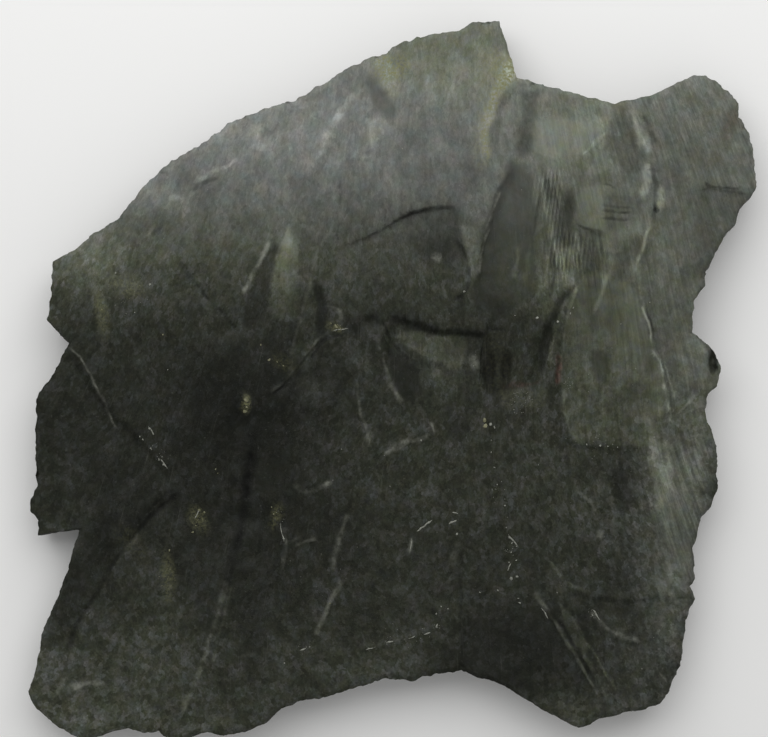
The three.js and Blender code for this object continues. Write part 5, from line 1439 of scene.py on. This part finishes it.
def shaleMaterial():
    look = shaleLook
    material, tree, shader = newMaterial("blackShale")
    place = addNode(tree, "ShaderNodeTexCoord")["Object"]
    flow = addNode(tree, "ShaderNodeAttribute", attribute_name="flow")["Vector"]
    smooth = attributeValue(tree, "smooth")
    calm = {kind: lessBy(tree, smooth, share) for kind, share in look["calmed"].items()}
    masks = {}
    for kind, (size, contrast) in look["breakUp"].items():
        broken = placeGroup(tree, breakUpGroup, Mask=attributeValue(tree, kind), Place=place,
                            Size=size, Contrast=contrast)
        masks[kind] = broken["Mask"]

    contrast = multiply(tree, look["grainContrast"], calm["grain"])
    grain = placeGroup(tree, grainGroup, Place=place, Size=look["grainSize"], Contrast=contrast)
    streak = noiseNode(tree, inCells(tree, flow, look["streakSize"]), 1.0, 5, 0.72)["Fac"]
    streakSwing = multiply(tree, attributeValue(tree, "streaks"), look["streakContrast"])
    streakShade = mathNode(tree, "EXPONENT", swingOf(tree, streak, 0.5, streakSwing))
    mottle = noiseNode(tree, inCells(tree, flow, look["mottleSize"]), 1.0, 6, 0.62, 0.6)["Fac"]
    mottled = multiply(tree, swingOf(tree, mottle, 0.5, look["mottleContrast"]), calm["mottle"])
    cells = {}
    for kind in ("flakes", "chips"):
        width, length = look[kind]["size"]
        cells[kind] = placeGroup(tree, flakeGroup, Place=flow, Width=width, Length=length)
        shade = multiply(tree, multiply(tree, cells[kind]["Shade"], look[kind]["contrast"]), calm[kind])
        mottled = mathNode(tree, "ADD", mottled, shade)
    toneShade = mathNode(tree, "EXPONENT", mathNode(tree, "ADD", mottled, attributeValue(tree, "tone")))
    shade = multiply(tree, multiply(tree, grain["Shade"], streakShade), toneShade)

    lean = mathNode(tree, "SUBTRACT", look["greenShare"], multiply(tree, mottled, look["greenLean"]))
    greenShare = multiply(tree, masks["green"], lean, clamp=True)
    color = mixColors(tree, greenShare, look["color"], look["green"])
    hue = noiseNode(tree, place, 1000 / look["hueSize"], 3)["Color"]
    swing = look["hueSwing"]
    hue = vectorNode(tree, "MULTIPLY_ADD", hue, (swing, 0, swing), (1 - swing / 2, 1, 1 - swing / 2))
    color = vectorNode(tree, "MULTIPLY", color, hue)
    color = mixColors(tree, masks["rust"], color, look["rust"])
    color = vectorNode(tree, "SCALE", color, Scale=shade)
    color = mixColors(tree, masks["ochre"], color, look["ochre"])
    noise = noiseNode(tree, place, 1000 / look["specks"]["size"], 1)["Fac"]
    specks = peaksOf(tree, noise, look["specks"], mottle)
    along = vectorNode(tree, "MULTIPLY", flow, look["lines"]["perMillimetre"])
    lines = peaksOf(tree, noiseNode(tree, along, 1.0, 3, distortion=0.3)["Fac"], look["lines"], mottle)
    paleMask = mathNode(tree, "MAXIMUM", masks["pale"], mathNode(tree, "MAXIMUM", lines, specks))
    tree.links.new(mixColors(tree, paleMask, color, look["pale"]), shader["Base Color"])

    shader["Specular IOR Level"].default_value = look["specular"]
    shader["Specular Tint"].default_value = look["specularTint"]
    swing = swingOf(tree, grain["Height"], 0.5, look["roughnessSwing"])
    tree.links.new(mathNode(tree, "ADD", look["roughness"], swing, clamp=True), shader["Roughness"])
    depth = mathNode(tree, "ADD", grain["Height"], multiply(tree, streak, look["streakRelief"]))
    flaked = multiply(tree, cells["flakes"]["Height"], look["flakeRelief"])
    height = multiply(tree, mathNode(tree, "ADD", depth, flaked), calm["relief"])
    addBump(tree, height, look["bumpHeight"], shader)
    return material


def addBump(tree, height, distance, shader):
    bump = addNode(tree, "ShaderNodeBump", {"Height": height, "Distance": distance, "Strength": 1.0})
    tree.links.new(bump["Normal"], shader["Normal"])


grainLooks = {
    "calcite": dict(dark=(0.07, 0.07, 0.055, 1), light=(0.36, 0.37, 0.32, 1), roughness=0.45),
    "ironCrust": dict(dark=(0.08, 0.078, 0.04, 1), light=(0.25, 0.245, 0.14, 1), roughness=0.5),
    "speckSize": 0.5,
    "lightFrom": 0.35,           # grain above this is light
    "lightGain": 3.0,
    "bumpHeight": 0.00006,       # metres
}


def grainMaterial(name):  # a dark and a light colour, parted by grain
    look = grainLooks
    material, tree, shader = newMaterial(name)
    place = addNode(tree, "ShaderNodeTexCoord")["Object"]
    grain = placeGroup(tree, grainGroup, Place=place, Size=look["speckSize"])
    lightShare = swingOf(tree, grain["Height"], look["lightFrom"], look["lightGain"], clamp=True)
    color = mixColors(tree, lightShare, look[name]["dark"], look[name]["light"])
    tree.links.new(color, shader["Base Color"])
    shader["Roughness"].default_value = look[name]["roughness"]
    addBump(tree, grain["Height"], look["bumpHeight"], shader)
    return material


slab.data.materials.clear()
slab.data.materials.append(shaleMaterial())
calciteFinish = grainMaterial("calcite")
calcite.data.materials.append(calciteFinish)
veins.data.materials.append(calciteFinish)
iron.data.materials.append(grainMaterial("ironCrust"))
print("materials done")

# ---- stage ----

stage = {
    "cameraHeight": 0.72,        # metres
    "faceHeight": 0.012,
    "frameWidth": 203.5,         # millimetres of the face that the camera sees across
    "frameMiddle": (-2.1, 3.3),
    "keyPlace": (-0.02, 0.36, 0.46),  # metres
    "keyAim": (0.0, 0.0, 0.015),
    "keySize": (0.9, 0.7),
    "keyPower": 3.2,
    "world": 0.42,               # strength of the even light from all round
    "floorColor": (0.9, 0.9, 0.89, 1),
    "floorRoughness": 0.9,
    "floorReach": 2500,          # millimetres
    "floorHeight": -0.2,
}


def aim(thing, target):
    direction = Vector(target) - thing.location
    thing.rotation_euler = direction.to_track_quat("-Z", "Y").to_euler()


def buildStage():
    reach, z = stage["floorReach"], stage["floorHeight"]
    corners = np.array([(-reach, -reach, z), (reach, -reach, z), (reach, reach, z), (-reach, reach, z)])
    floor = meshFrom("floor", corners, [np.array([[0, 1, 2, 3]])])
    paint, _, shader = newMaterial("paleFloor")
    shader["Base Color"].default_value = stage["floorColor"]
    shader["Roughness"].default_value = stage["floorRoughness"]
    floor.data.materials.append(paint)

    lens = bpy.data.cameras.new("camera")
    camera = addObject("camera", lens)
    fx, fy = stage["frameMiddle"]
    camera.location = (fx * mm, fy * mm, stage["cameraHeight"])
    distance = stage["cameraHeight"] - stage["faceHeight"]
    lens.sensor_width = 36
    lens.lens = 36 * distance / (stage["frameWidth"] * mm)
    lens.clip_end = 20
    bpy.context.scene.camera = camera

    key = bpy.data.lights.new("key", "AREA")
    key.shape = "RECTANGLE"
    key.size, key.size_y = stage["keySize"]
    key.energy = stage["keyPower"]
    keyLamp = addObject("key", key)
    keyLamp.location = stage["keyPlace"]
    keyLamp.visible_camera = False
    aim(keyLamp, stage["keyAim"])

    world = bpy.data.worlds.new("studio")
    world.use_nodes = True
    background = world.node_tree.nodes["Background"].inputs
    background["Strength"].default_value = stage["world"]
    background["Color"].default_value = (1, 1, 1, 1)
    bpy.context.scene.world = world
    bpy.context.scene.view_settings.view_transform = "Standard"


buildStage()
bpy.context.view_layer.update()
